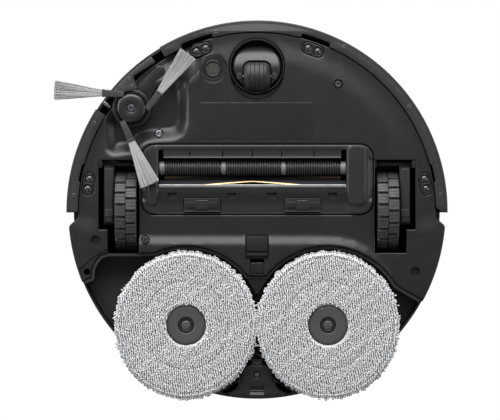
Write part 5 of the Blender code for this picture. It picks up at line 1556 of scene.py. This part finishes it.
@dataclass
class Drive:
    """One drive wheel with its lugged tyre, its gearbox arm and the hinge pin."""

    side: Side
    lugs: int = 20
    tread: float = 2.5
    width: float = 19.7
    rim: float = 31.05
    barrel: Point = (-43.6, 24.0)

    def tyre(self, bench: Bench) -> Form:
        """A band with two staggered columns of lugs, each lug split by fine cuts."""
        x, base, half = self.side.value * WHEEL_X, WHEEL_RADIUS - self.tread, self.width / 2
        band = [(self.rim, half - 0.1), (base - 0.9, half - 0.1), (base, half - 1.0), (base, 1.0 - half)]
        band += [(base - 0.9, 0.1 - half), (self.rim, 0.1 - half)]
        form = Form().turned(band, (x, 0.0, WHEEL_RADIUS), Axis.X, 96, closed=True)
        pitch = 2 * math.pi * WHEEL_RADIUS / self.lugs
        long = pitch - 2.5
        lug = Form().plate([panel((-4.75, -long / 2), (4.75, long / 2), 0.5, 2)], -0.6, self.tread - 0.45, 0.3)
        for k in (-1, 0, 1):
            y = k * long / 3
            lug.plate(
                [panel((-4.5, y - long / 6 + 0.1), (4.5, y + long / 6 - 0.1), 0.3, 2)],
                self.tread - 0.7,
                self.tread,
                0.16,
            )
        spots = []
        for column in (-1, 1):
            for k in range(self.lugs):
                turn = 2 * math.pi * (k + (0.5 if column > 0 else 0.0)) / self.lugs
                at = (x + column * 5.0, -base * math.sin(turn), WHEEL_RADIUS + base * math.cos(turn))
                spots.append(Spot(at, (turn, 0.0, 0.0)))
        return form.form(bench.repeated(lug, spots, Finishes.TYRE))

    def hub(self) -> Form:
        """The wheel's rim and web, with five ribs in its open side."""
        s, x = self.side.value, self.side.value * WHEEL_X
        profile = [
            (0.0, 15.6), (3.4, 15.6), (4.0, 15.0), (4.0, 9.8), (30.4, 9.8), (31.0, 9.2), (31.0, -9.2), (30.4, -9.8)
        ]
        profile += [(25.4, -9.8), (24.6, -9.2), (23.0, -4.9), (10.0, -4.9), (9.2, -9.2), (8.6, -9.8), (0.0, -9.8)]
        form = Form().turned([(r, s * h) for r, h in profile], (x, 0.0, WHEEL_RADIUS), Axis.X, 96)
        for k in range(5):
            turn = Matrix.Translation((x, 0.0, WHEEL_RADIUS)) @ Matrix.Rotation(math.radians(72.0 * k), 4, "X")
            low, high = sorted((-s * 9.0, -s * 4.5))
            form.block((low, 8.6, -1.0), (high, 24.2, 1.0), 0.5, turn)
        return form

    def arm(self) -> Form:
        """The gearbox arm beside the wheel, with its barrel and ribs."""
        s = self.side.value
        low, high = sorted((s * 130.9, s * 141.5))
        form = Form().block((low, -42.8, 20.2), (high, 12.8, 43.8), 1.8)
        skin_low, skin_high = sorted((s * 131.6, s * 140.8))
        form.plate([panel((skin_low, -39.5), (skin_high, 11.0), 1.2)], 15.4, 21.8, 1.8, rounds=3)
        form.plate([panel((skin_low + 0.8, -1.5), (skin_high - 0.8, 5.5), 0.8)], 14.7, 16.4, 0.6)
        y, z = self.barrel
        start, end = sorted((s * 110.3, s * 141.8))
        form.turned(
            [(1.6, start), (2.5, start), (2.75, start + 0.4), (2.75, end - 0.4), (2.5, end), (1.6, end)],
            (0.0, y, z),
            Axis.X,
            32,
            True,
        )
        for x in (113.5, 121.0, 128.5):
            form.turned(
                [(2.6, s * x - 0.7), (3.1, s * x - 0.5), (3.1, s * x + 0.5), (2.6, s * x + 0.7)],
                (0.0, y, z),
                Axis.X,
                32,
                True,
            )
        return form

    def build(self, bench: Bench) -> None:
        """Makes the tyre, the hub, the arm and the pin."""
        tag, s = self.side.tag, self.side.value
        wheel = f"drive_wheel_{tag}"
        bench.piece(f"tyre_{tag}", self.tyre(bench), wheel, Finishes.TYRE, [f"drive_tyre_{tag}"])
        bench.piece(f"wheel_hub_{tag}", self.hub(), wheel, Finishes.SATIN, [wheel])
        bench.piece(f"gearbox_{tag}", self.arm(), f"wheel_arm_{tag}", Finishes.BAND, [f"wheel_arm_{tag}"])
        start, end = sorted((s * 107.7, s * 144.6))
        pin = [(0.0, start), (1.2, start), (1.5, start + 0.4), (1.5, end - 0.4), (1.2, end), (0.0, end)]
        form = Form().turned(pin, (0.0, *self.barrel), Axis.X, 28)
        bench.piece(f"arm_pin_{tag}", form, "chassis", Finishes.STEEL, [f"hinge_pin_{tag}"])


# ---------------------------------------------------------------- rollers and guard


@dataclass
class RollerUnit:
    """The guard with its latches, the finned comb roller and the vaned rubber roller."""

    guard_low: float = 8.0
    mouth: tuple[Point, Point] = ((-90.3, -48.4), (81.8, -24.0))
    slits: Sequence[float] = (-61.5, -31.4, -4.1, 22.6, 52.2)
    latches: Sequence[float] = (-50.4, 41.8)
    holes: Sequence[float] = (-77.5, -22.9, 13.7, 69.3)
    comb_axis: Point = (-39.4, 16.9)
    rubber_axis: Point = (-20.5, 22.5)
    span: tuple[float, float] = (-90.0, 82.0)
    fin_pitch: float = 2.15
    twist: float = 0.47
    peak: float = -4.1
    vane: Sequence[Point] = ((8.0, -1.3), (10.9, -0.7), (11.1, 0.0), (10.9, 0.7), (8.0, 1.3))
    edge: Sequence[Point] = ((10.8, -0.75), (11.35, -0.55), (11.45, 0.0), (11.35, 0.55), (10.8, 0.75))

    def guard(self) -> Form:
        """The plate with its mouth, slits, square holes and latch recesses."""
        (x0, y0), (x1, y1) = self.mouth
        low = self.guard_low
        mouth = [
            (x0, -56.0), (x0 + 4.4, -56.0), (x0 + 4.4, y0), (x1 - 4.6, y0), (x1 - 4.6, -56.0), (x1, -56.0), (x1, y1),
            (x0, y1),
        ]
        relief = Relief(guard_outline(-0.1), low + 0.4, low + 2.8, 1.8, 2.6)
        relief.dips += [
            Dip(panel((-89.0, -8.0), (80.6, 4.0)), low + 3.6, 0.0, 9.0),
            Dip(panel((-86.0, -56.2), (77.0, -49.0), 0.6), low + 1.0, -0.6, 0.6),
        ]
        relief.rim(1.6, 1.8)
        for low_x, high_x, corner in ((-99.6, -91.2, 3.5), (83.0, 99.4, 5.0)):
            relief.dips.append(
                Dip(panel((low_x, -60.2), (high_x, -5.0), corner, 8), low - 0.6, -0.9, 0.4, Blend.SMOOTH)
            )
        for low_x, high_x in ((100.4, 112.0), (-112.0, -100.6)):
            slope = panel((low_x, -50.0), (high_x, -8.0), 3.0)
            relief.dips.append(Dip(slope, 1.6, -4.5, 0.0, Blend.SMOOTH, relative=True))
        relief.hole(mouth, 0.5)
        for x in self.slits:
            relief.hole(panel((x - 0.45, -55.4), (x + 0.45, -49.4), 0.2, 2), 0.0)
        for x in self.holes:
            relief.hole(panel((x - 4.1, -16.6), (x + 4.1, -11.2), 0.5, 3), 0.3)
        for x in self.latches:
            relief.hole(panel((x - 17.0, -12.2), (x + 17.0, 1.2), 0.8, 3), 0.3)
        form = relief.form()
        form.plate([guard_outline(-0.2), grown(guard_outline(), -1.6)], low + 2.9, low + 6.0, 0.3)
        for x in self.latches:
            form.plate([panel((x - 16.6, -11.8), (x + 16.6, 0.9), 0.6)], low + 2.0, low + 2.9, 0.2)
            form.plate([panel((x - 17.4, -0.1), (x + 17.4, 1.0), 0.4)], low, low + 1.4, 0.3)
        return form

    def latch(self, x: float) -> Form:
        """One sliding latch: its tab with grip ribs, and the wings that it slides on."""
        low = self.guard_low
        form = Form().plate([panel((x - 15.0, -8.0), (x + 15.0, -2.9), 0.6)], low + 0.9, low + 2.3, 0.3)
        form.plate([panel((x - 5.9, -9.9), (x + 5.9, -0.95), 0.9)], low - 0.4, low + 2.4, 0.5, rounds=2)
        for k in range(4):
            form.plate([panel((x - 4.4, -8.6 + 1.6 * k), (x + 4.4, -8.0 + 1.6 * k), 0.25)], low - 0.62, low, 0.2)
        return form

    def comb(self, bench: Bench) -> None:
        """The comb roller: a core, a row of fins and its pale spacers."""
        y, z = self.comb_axis
        x0, x1 = self.span
        centre = (0.0, y, z)
        core = [
            (0.0, x0 - 2.3), (2.5, x0 - 2.3), (2.5, x0), (5.4, x0 + 0.2), (5.4, x1 - 0.2), (2.5, x1), (2.5, x1 + 2.3),
            (0.0, x1 + 2.3),
        ]
        bench.piece(
            "comb_core", Form().turned(core, centre, Axis.X, 40), "comb_roller", Finishes.DEEP, ["comb_roller"]
        )
        fin = Form().turned(
            [(5.0, -0.5), (7.0, -0.42), (7.35, -0.2), (7.35, 0.2), (7.0, 0.42), (5.0, 0.5)],
            (0.0, 0.0, 0.0),
            Axis.X,
            28,
            True,
        )
        spots = []
        for k in range(int((x1 - x0 - 12.0) / self.fin_pitch)):
            x = x0 + 7.0 + k * self.fin_pitch
            if min(abs(x + 30.7), abs(x - 24.3)) > 3.0:
                spots.append(Spot((x, y, z), (0.3 * k, 0.0, 0.0)))
        bench.scatter("comb_fins", fin, spots, "comb_roller", Finishes.FIN)
        spacers = Form()
        for x, half in ((-30.7, 2.3), (24.3, 2.3), (x0 + 2.8, 2.6), (x1 - 2.8, 2.6)):
            ring = [
                (4.2, x - half), (5.7, x - half), (6.3, x - half + 0.6), (6.3, x + half - 0.6), (5.7, x + half),
                (4.2, x + half),
            ]
            spacers.turned(ring, centre, Axis.X, 40, True)
        bench.piece("comb_spacers", spacers, "comb_roller", Finishes.PALE)

    def rubber(self, bench: Bench) -> None:
        """The rubber roller: a core with five chevron vanes and the bright edges on them."""
        y, z = self.rubber_axis
        x0, x1 = self.span
        core = [
            (0.0, x0 - 2.3), (2.5, x0 - 2.3), (2.5, x0), (8.2, x0 + 0.2), (8.5, x0 + 0.6), (8.5, x1 - 0.6),
            (8.2, x1 - 0.2),
        ]
        core += [(2.5, x1), (2.5, x1 + 2.3), (0.0, x1 + 2.3)]
        bench.piece(
            "rubber_core",
            Form().turned(core, (0.0, y, z), Axis.X, 56),
            "rubber_roller",
            Finishes.ROLLER,
            ["rubber_roller"],
        )
        vanes, edges = Form(), Form()
        stations = np.linspace(x0 + 5.0, x1 - 5.0, 64)
        for number in range(5):
            rings, tips = [], []
            for x in stations:
                turn = math.radians(232.5 + 72.0 * number + self.twist * min(abs(x - self.peak), 70.0))
                out, side = (math.cos(turn), math.sin(turn)), (-math.sin(turn), math.cos(turn))
                rings.append([self.spoke(x, out, side, r, w) for r, w in self.vane])
                tips.append([self.spoke(x, out, side, r, w) for r, w in self.edge])
            vanes.loft(rings)
            edges.loft(tips)
        bench.piece("roller_vanes", vanes, "rubber_roller", Finishes.ROLLER)
        bench.piece("vane_edges", edges, "rubber_roller", Finishes.BRONZE)

    def spoke(self, x: float, out: Point, side: Point, radius: float, width: float) -> Place:
        """A point of a vane's section: out from the axis, and to one side."""
        y, z = self.rubber_axis
        return x, y + out[0] * radius + side[0] * width, z + out[1] * radius + side[1] * width

    def build(self, bench: Bench) -> None:
        """Makes the guard, its trim, its latches and both rollers."""
        bench.piece("roller_guard", self.guard(), "brush_guard", Finishes.SHELL, ["brush_guard"])
        (x0, _), (x1, y1) = self.mouth
        strip = Form().plate([panel((x0 + 0.2, y1 - 0.2), (x1 - 0.2, y1 + 2.4), 0.3)], 7.5, 9.2, 0.5, rounds=2)
        bench.piece("guard_strip", strip, "brush_guard", Finishes.BLADE)
        for name, x in zip(("left", "right"), self.latches):
            bench.piece(
                f"latch_{name}", self.latch(x), f"guard_latch_{name}", Finishes.SATIN, [f"guard_latch_{name}"]
            )
        # A near-black sheet behind the guard's square holes: painted shade for the dark roller bay seen through them.
        backing = Form().plate([panel((-84.0, -17.3), (76.0, -10.4), 0.6)], 10.85, 11.4, 0.1)
        bench.piece("guard_backing", backing, "brush_guard", Finishes.PAINTED_SHADE)
        self.comb(bench)
        self.rubber(bench)
        bench.keep("brush_housing", Finishes.DEEP)


# ---------------------------------------------------------------- mops


@dataclass
class MopBay:
    """The cover between the mops at the back, and the slider in front of them."""

    def island(self) -> Form:
        """The cover's plate with its slot and its screw recess."""
        side = [
            (9.0, 141.6), (12.2, 144.0), (13.4, 150.0), (14.2, 157.6), (16.2, 162.6), (20.6, 166.6), (26.6, 168.8)
        ]
        back = arc(171.6, math.degrees(math.atan2(169.4, 27.4)), 90.0, 8)
        half = side + back
        outline = half + mirrored(half[:-1])
        slot, well = panel((-6.4, 161.2), (6.4, 164.2), 0.3, 2), circle(3.1, (0.0, 150.4), 28)
        form = Form().plate([outline, slot, well], 10.2, 12.6, 0.6, rounds=2)
        wings = [
            (21.0, 158.0), (27.0, 160.5), (34.0, 163.0), (38.0, 165.8), (30.0, 168.2), (22.4, 166.2), (17.6, 162.2),
            (15.8, 156.0),
        ]
        for outline in (wings, mirrored(wings)):
            form.plate([rounded(outline, 1.6)], 12.0, 14.0, 0.5)
        return form

    def build(self, bench: Bench) -> None:
        """Makes the rear cover and its fittings."""
        bench.piece("rear_cover", self.island(), "chassis", Finishes.FLOOR_SHELL)
        strip = Form().plate([panel((-6.4, 166.4), (6.4, 168.8), 0.5)], 9.9, 10.6, 0.25)
        bench.piece("rear_light", strip, "chassis", Finishes.PALE)
        post = [(0.0, 10.6), (1.7, 10.6), (2.1, 11.0), (2.1, 13.0), (0.0, 13.0)]
        bench.piece("rear_post", Form().turned(post, (0.0, 150.4, 0.0), steps=28), "chassis", Finishes.HUB_GREY)
        ring = Form().turned(
            [(3.6, 11.6), (4.8, 11.2), (5.2, 11.8), (5.2, 13.0), (3.6, 13.0)],
            (0.0, 135.8, 0.0),
            steps=40,
            closed=True,
        )
        bench.piece("rear_boss", ring, "chassis", Finishes.DEEP)
        gusset = [(13.0, 57.6), (11.0, 60.6), (4.4, 70.0), (1.2, 76.0)]
        gusset += mirrored(gusset)
        bench.piece("front_gusset", Form().plate([gusset[::-1]], 12.4, 14.4, 0.6), "chassis", Finishes.FLOOR_SHELL)
        bench.keep("mop_bay_frame", Finishes.DEEP)
        bench.keep("mop_arm", Finishes.DEEP)
        slider = Form().plate([panel((-6.1, 47.3), (6.1, 57.2), 0.7)], 7.9, 10.3, 0.5)
        for k in range(9):
            x = -4.8 + 1.2 * k
            slider.plate([panel((x - 0.35, 48.4), (x + 0.35, 56.2), 0.25)], 7.55, 8.2, 0.25)
        bench.piece("service_slider", slider, "service_latch", Finishes.HUB_DARK, ["service_latch"])


@dataclass
class Mop:
    """One mop: its plate and motor, and the pad of looped yarn."""

    side: Side
    row: float = 1.95
    pitch: float = 1.25
    inner: float = 18.4
    outer: float = 65.3
    stretch: float = 1.034
    seams: tuple[float, float] = (39.0, 60.2)

    def plate(self) -> Form:
        """The carrying plate with the hub that shows through the pad."""
        face = [
            (0.0, 13.5), (8.0, 13.5), (8.0, 11.4), (61.4, 11.4), (62.0, 10.8), (62.0, 8.5), (17.6, 8.5), (17.6, 4.4)
        ]
        face += [(16.9, 3.6), (15.6, 3.3), (7.9, 3.3), (7.4, 3.7), (7.3, 5.0), (0.0, 5.0)]
        return Form().turned(softened(face, 0.35), (self.side.value * MOP_X, MOP_Y, 0.0), steps=96)

    def pad(self, bench: Bench) -> Form:
        """The backing and its loops."""
        x, y = self.side.value * MOP_X, MOP_Y
        ring = [
            (17.9, 8.3), (63.8, 8.3), (64.8, 7.3), (65.0, 5.0), (63.6, 4.1), (21.0, 3.9), (18.6, 4.8), (17.9, 6.2)
        ]
        form = Form().turned(softened(ring, 0.6), (x, y, 0.0), steps=128, closed=True)
        loop = Form().tube(
            [(-0.6, 0.0, 1.3), (-0.9, 0.0, -0.8), (0.0, 0.0, -1.9), (0.9, 0.0, -0.8), (0.6, 0.0, 1.3)], 0.6, 4
        )
        rng = np.random.default_rng(23 + self.side.value)
        spots = []
        for across in np.arange(-self.outer - 2.0, self.outer + 2.0, self.row):
            shift = rng.uniform(0.0, self.pitch)
            for along in np.arange(-self.outer - 2.0, self.outer + 2.0, self.pitch):
                wave = 1.1 * math.sin(along * 0.13 + across * 0.04) + 0.4 * math.sin(along * 0.41 + across * 0.3)
                dx = across + wave + rng.normal(0.0, 0.14)
                dy = (along + shift + rng.normal(0.0, 0.16)) * self.stretch
                radius, turn = math.hypot(dx, dy / self.stretch), math.atan2(dy, dx)
                if not self.inner + rng.uniform(0.0, 1.2) < radius < self.outer + rng.normal(0.0, 0.4):
                    continue
                edge = min(max((radius - self.outer + 3.4) / 3.0, 0.0), 1.2)
                seam = min(abs(radius - seam) for seam in self.seams)
                sunk = 1.1 * math.exp(-((seam / 0.8) ** 2))
                at = (x + dx, y + dy, 3.0 + sunk + edge * 2.0 + rng.uniform(-0.12, 0.3))
                lean = (rng.normal(0.0, 0.12), rng.normal(0.0, 0.12), math.pi / 2 + rng.normal(0.0, 0.25))
                if edge > 0.05:
                    lean = (-edge * 0.9 * math.sin(turn), -edge * 0.9 * math.cos(turn), rng.uniform(-0.6, 0.6))
                size = rng.uniform(0.85, 1.1)
                spots.append(Spot(at, lean, (size, size, rng.uniform(0.9, 1.08))))
        return form.form(bench.repeated(loop, spots, Finishes.YARN))

    def build(self, bench: Bench) -> None:
        """Makes the plate, its centre fittings and the pad."""
        tag = self.side.tag
        body, centre = f"mop_{tag}", (self.side.value * MOP_X, MOP_Y, 0.0)
        bench.piece(f"mop_disc_{tag}", self.plate(), body, Finishes.HUB_GREY, [f"mop_plate_{tag}"])
        ring = [(4.3, 5.2), (4.3, 4.4), (5.0, 4.0), (6.6, 4.0), (7.25, 4.6), (7.25, 5.2)]
        bench.piece(f"mop_ring_{tag}", Form().turned(ring, centre, steps=64, closed=True), body, Finishes.HUB_DARK)
        button = softened([(0.0, 3.2), (2.6, 3.25), (3.9, 3.7), (4.3, 4.6), (4.3, 5.4), (0.0, 5.4)], 0.4)
        bench.piece(f"mop_button_{tag}", Form().turned(button, centre, steps=48), body, Finishes.HUB_GREY)
        pad = bench.piece(f"yarn_pad_{tag}", self.pad(bench), body, Finishes.YARN, [f"mop_pad_{tag}"])
        bench.keep(f"mop_motor_{tag}", Finishes.CAN)


# ---------------------------------------------------------------- upper side


@dataclass
class UpperShell:
    """The outer wall and deck, with the bin's opening, the buttons and the charging contacts."""

    low: float = 16.9
    wall: float = 2.0
    bin_low: Point = (-71.0, -86.0)
    bin_high: Point = (71.0, -4.0)

    def shell(self) -> Form:
        """The wall with its openings over the mops and the side brush, and the rounded deck on it."""
        outer = shell_outline(FRONT_WALL_RADIUS, REAR_RADIUS, 160)
        wall = Form().plate([outer, grown(outer, -self.wall)], self.low, 77.2, 0.4)
        bay = Form().plate([grown(mop_bay_outline(), 2.2)], 0.0, 25.0, 0.01)
        scoop = Form().plate([rounded(LowerShell().scoop(), 1.0)], 0.0, 24.7, 0.01)
        form = carved(wall, [bay, scoop])
        rim = [(162.0, DECK_TOP), (170.4, DECK_TOP), (172.4, DECK_TOP - 0.5), (173.2, DECK_TOP - 1.4), (173.4, 77.6)]
        rim += [(173.0, 76.9), (162.0, 76.9)]
        form.turned(rim, steps=192, closed=True)
        holes = [circle(5.15, (x, -152.0), 32) for x in (-14.0, 14.0)]
        return form.plate(
            [circle(162.2, steps=192), panel(self.bin_low, self.bin_high, 1.0), *holes], 77.0, DECK_TOP, 0.02
        )

    def build(self, bench: Bench) -> None:
        """Makes the shell, its trim, the contacts and the vents."""
        bench.piece("upper_shell", self.shell(), "chassis", Finishes.SHELL, ["top_deck"])
        trim = Form().plate([sector(173.2, 173.75, 6.0, 174.0, 160)], 70.6, 71.8, 0.2)
        bench.piece("rear_trim", trim, "chassis", Finishes.DEEP)
        contacts, bezels = Form(), Form()
        for angle in (76.0, 104.0):
            at = facing(angle, (REAR_RADIUS, 0.0, 42.0))
            bezels.plate([panel((-7.0, -13.0), (7.0, 13.0), 4.0)], -1.0, 0.35, 0.3, at)
            contacts.plate([panel((-4.6, -10.6), (4.6, 10.6), 3.0)], 0.0, 0.8, 0.35, at)
        bench.piece("contact_bezels", bezels, "chassis", Finishes.DEEP)
        bench.piece("charging_contacts", contacts, "chassis", Finishes.CONTACT)
        slat = Form().plate([panel((-9.0, -0.8), (9.0, 0.8), 0.7)], -0.6, 0.5, 0.3)
        spots = []
        for k in range(14):
            turn = math.radians(28.0 + 2.4 * k)
            spots.append(
                Spot((REAR_RADIUS * math.cos(turn), REAR_RADIUS * math.sin(turn), 52.0), (0.0, math.pi / 2, turn))
            )
        bench.scatter("air_outlet", slat, spots, "chassis", Finishes.SATIN)
        for name, x in (("power_button", -14.0), ("home_button", 14.0)):
            cap = softened([(0.0, 80.2), (3.6, 80.25), (4.6, 80.4), (4.95, 80.0), (4.95, 76.8), (0.0, 76.8)], 0.25)
            bench.piece(f"{name}_cap", Form().turned(cap, (x, -152.0, 0.0), steps=48), name, Finishes.GREY, [name])
            bezel = [(5.2, 79.6), (5.5, 80.35), (6.4, 80.35), (6.8, 79.8)]
            bench.piece(
                f"{name}_bezel",
                Form().turned(bezel, (x, -152.0, 0.0), steps=48, closed=True),
                "chassis",
                Finishes.STEEL,
            )


@dataclass
class TopCover:
    """The lift-off cover, the bin's lid under it and the turret that stands through it."""

    radius: float = 140.0
    opening: float = 44.0
    low: float = 80.3
    high: float = 84.6

    def cover(self) -> Form:
        """The cover's softened disc with the turret's opening and a finger notch."""
        notch = capsule((0.0, -self.radius - 1.0), 46.0, 12.0, 0.0)
        outlines = [circle(self.radius, steps=224), circle(self.opening, (0.0, TURRET_Y), 96)]
        disc = Form().plate(outlines, self.low, self.high, 1.6, rounds=4)
        return carved(disc, [Form().plate([notch], self.low - 2.0, self.high - 1.6, 0.01), self.hollow()])

    def hollow(self) -> Form:
        """The space under the cover."""
        inner = [circle(self.radius - 2.4, steps=160), circle(46.2, (0.0, TURRET_Y), 64)]
        return Form().plate(inner, self.low - 2.0, self.high - 2.0, 0.01)

    def build(self, bench: Bench) -> None:
        """Makes the cover, the turret, the bin and its lid."""
        bench.piece("polished_cover", self.cover(), "top_cover", Finishes.COVER, ["top_cover"])
        groove = Form().plate(
            [circle(128.0, steps=192), circle(127.2, steps=192)], self.high - 0.2, self.high + 0.12, 0.08
        )
        bench.piece("cover_ring", groove, "top_cover", Finishes.STEEL)
        centre = (0.0, TURRET_Y, 0.0)
        base = softened([(0.0, 88.0), (29.0, 88.0), (40.2, 88.0), (42.0, 86.2), (42.0, 80.3), (0.0, 80.3)], 1.0)
        bench.piece("turret_base", Form().turned(base, centre, steps=96), "chassis", Finishes.SHELL, ["lidar_base"])
        head = [
            (0.0, 97.7), (29.4, 97.7), (30.0, 97.1), (30.0, 94.4), (29.5, 94.0), (29.5, 91.4), (30.0, 91.0),
            (30.0, 88.9), (29.4, 88.3), (0.0, 88.3),
        ]
        bench.piece(
            "turret_head", Form().turned(head, centre, steps=96), "lidar_head", Finishes.SMOKED, ["lidar_head"]
        )
        eyes = Form()
        for angle in (-98.0, -82.0):
            at = Matrix.Translation(centre) @ facing(angle, (29.4, 0.0, 92.7))
            eyes.plate([circle(1.9, steps=24)], 0.0, 0.5, 0.2, at)
        bench.piece("turret_eyes", eyes, "lidar_head", Finishes.LENS)
        cap = [
            (0.0, 103.4), (24.0, 103.4), (25.0, 104.0), (36.0, 104.0), (39.6, 103.2), (41.4, 101.6), (42.0, 99.4),
            (42.0, 98.0), (0.0, 98.0),
        ]
        form = Form().turned(softened(cap, 0.9), centre, steps=96)
        for k in range(3):
            spot = polar(37.0, 90.0 + 120.0 * k, (0.0, TURRET_Y))
            form.turned(
                [(0.0, 88.35), (3.2, 88.35), (2.8, 89.2), (2.6, 93.0), (2.8, 97.0), (3.4, 98.4), (0.0, 98.4)],
                (*spot, 0.0),
                steps=28,
            )
        bench.piece("turret_cap", form, "chassis", Finishes.COVER, ["lidar_cap"])
        bench.keep("dust_bin", Finishes.SMOKED)
        lid = Form().plate([panel((-72.9, -87.9), (72.9, -2.1), 2.5)], 81.6, 82.2, 0.15)
        lid.plate(
            [panel((-58.0, -78.0), (58.0, -20.0), 4.0), panel((-56.4, -76.4), (56.4, -21.6), 3.0)], 82.0, 82.4, 0.15
        )
        lid.plate([panel((-18.0, -14.5), (18.0, -6.5), 3.5)], 82.0, 82.45, 0.2)
        bench.piece("bin_cover", lid, "dust_bin", Finishes.LID, ["bin_lid"])


@dataclass
class Insides:
    """The parts inside the body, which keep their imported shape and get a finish."""

    finishes: tuple[tuple[str, Finish], ...] = (
        ("battery_pack", Finishes.CELLS),
        ("main_board", Finishes.BOARD),
        ("fan_housing", Finishes.GREY),
        ("fan_impeller", Finishes.GREY),
        ("water_tank", Finishes.TANK),
        ("water_pump", Finishes.GREY),
        ("side_brush_motor", Finishes.CAN),
        ("brush_motor", Finishes.CAN),
    )

    def build(self, bench: Bench) -> None:
        """Gives each part its finish."""
        for node, finish in self.finishes:
            bench.keep(node, finish)


# ---------------------------------------------------------------- studio


@dataclass
class Studio:
    """A pale floor, soft light from below and above, and a camera under the robot."""

    middle: Point = (-6.42, -0.92)
    distance: float = 2000.0
    width: float = 458.6
    level: float = 11.0
    floor_reach: float = 8.0
    lamps: tuple[tuple[str, Place, float, float], ...] = (
        ("front_light", (-0.1, -1.15, -0.55), 1.5, 42.0),
        ("side_light", (1.1, 0.0, -0.5), 0.8, 4.0),
        ("left_light", (-1.2, -0.35, -0.4), 0.6, 7.0),
        ("rear_light", (-0.7, 0.9, -0.5), 0.8, 1.5),
        ("top_light", (-0.6, -0.9, 1.3), 1.2, 26.0),
    )

    def world(self) -> None:
        """A white surrounding that lights the robot more softly than it looks."""
        world = bpy.data.worlds.new("surrounding")
        world.use_nodes = True
        bpy.context.scene.world = world
        nodes, links = world.node_tree.nodes, world.node_tree.links
        seen, white, grey = nodes.new("ShaderNodeLightPath"), nodes["Background"], nodes.new("ShaderNodeBackground")
        white.inputs["Color"].default_value = (1.0, 1.0, 1.0, 1.0)
        grey.inputs["Color"].default_value = (0.96, 0.98, 1.0, 1.0)
        grey.inputs["Strength"].default_value = 0.2
        both = nodes.new("ShaderNodeMixShader")
        links.new(seen.outputs["Is Camera Ray"], both.inputs[0])
        links.new(grey.outputs[0], both.inputs[1])
        links.new(white.outputs[0], both.inputs[2])
        links.new(both.outputs[0], nodes["World Output"].inputs["Surface"])

    def floor(self) -> None:
        """A floor that is seen from above and clear from below."""
        mesh = bpy.data.meshes.new("studio_floor")
        corners = panel((-self.floor_reach, -self.floor_reach), (self.floor_reach, self.floor_reach))
        mesh.from_pydata([(x, y, 0.0) for x, y in corners], [], [(0, 1, 2, 3)])
        mesh.materials.append(Finishes.FLOOR.material())
        floor = bpy.data.objects.new("studio_floor", mesh)
        bpy.context.scene.collection.objects.link(floor)
        floor.visible_diffuse = floor.visible_glossy = floor.visible_shadow = False
        floor.visible_transmission = False

    def lamp(self, name: str, at: Place, size: float, power: float) -> None:
        """A square soft light that faces the robot, in metres and watts."""
        light = bpy.data.lights.new(name, "AREA")
        light.size, light.energy = size, power
        lamp = bpy.data.objects.new(name, light)
        lamp.location = at
        aim = Vector((0.0, 0.0, 0.03)) - Vector(at)
        lamp.rotation_euler = aim.to_track_quat("-Z", "Y").to_euler()
        bpy.context.scene.collection.objects.link(lamp)

    def camera(self, home: Matrix) -> None:
        """The camera straight below the robot, its image's top towards the front."""
        data = bpy.data.cameras.new("camera")
        data.sensor_width = 36.0
        data.lens = 36.0 * (self.distance + self.level) / self.width
        data.clip_end = 20.0
        camera = bpy.data.objects.new("camera", data)
        spot = home @ Vector((*self.middle, -self.distance))
        turn = Matrix(((1.0, 0.0, 0.0), (0.0, -1.0, 0.0), (0.0, 0.0, -1.0))).to_4x4()
        camera.matrix_world = Matrix.Translation(spot) @ turn
        bpy.context.scene.collection.objects.link(camera)
        bpy.context.scene.camera = camera

    def build(self, home: Matrix) -> None:
        """Sets the whole studio up."""
        self.world()
        self.floor()
        for lamp in self.lamps:
            self.lamp(*lamp)
        self.camera(home)
        bpy.context.scene.view_settings.view_transform = "Standard"


def main() -> None:
    """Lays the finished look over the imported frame."""
    logging.basicConfig(level=logging.INFO, format="%(message)s")
    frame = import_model()
    bench = Bench(frame["nodes"])
    LowerShell().build(bench)
    Sensors().build(bench)
    Bumper().build(bench)
    SideBrush().build(bench)
    Caster().build(bench)
    for side in Side:
        Drive(side).build(bench)
    RollerUnit().build(bench)
    MopBay().build(bench)
    for side in Side:
        Mop(side).build(bench)
    UpperShell().build(bench)
    TopCover().build(bench)
    Insides().build(bench)
    Studio().build(bench.home)
    log.info("%d pieces", bench.made)


if __name__ == "__main__":
    main()
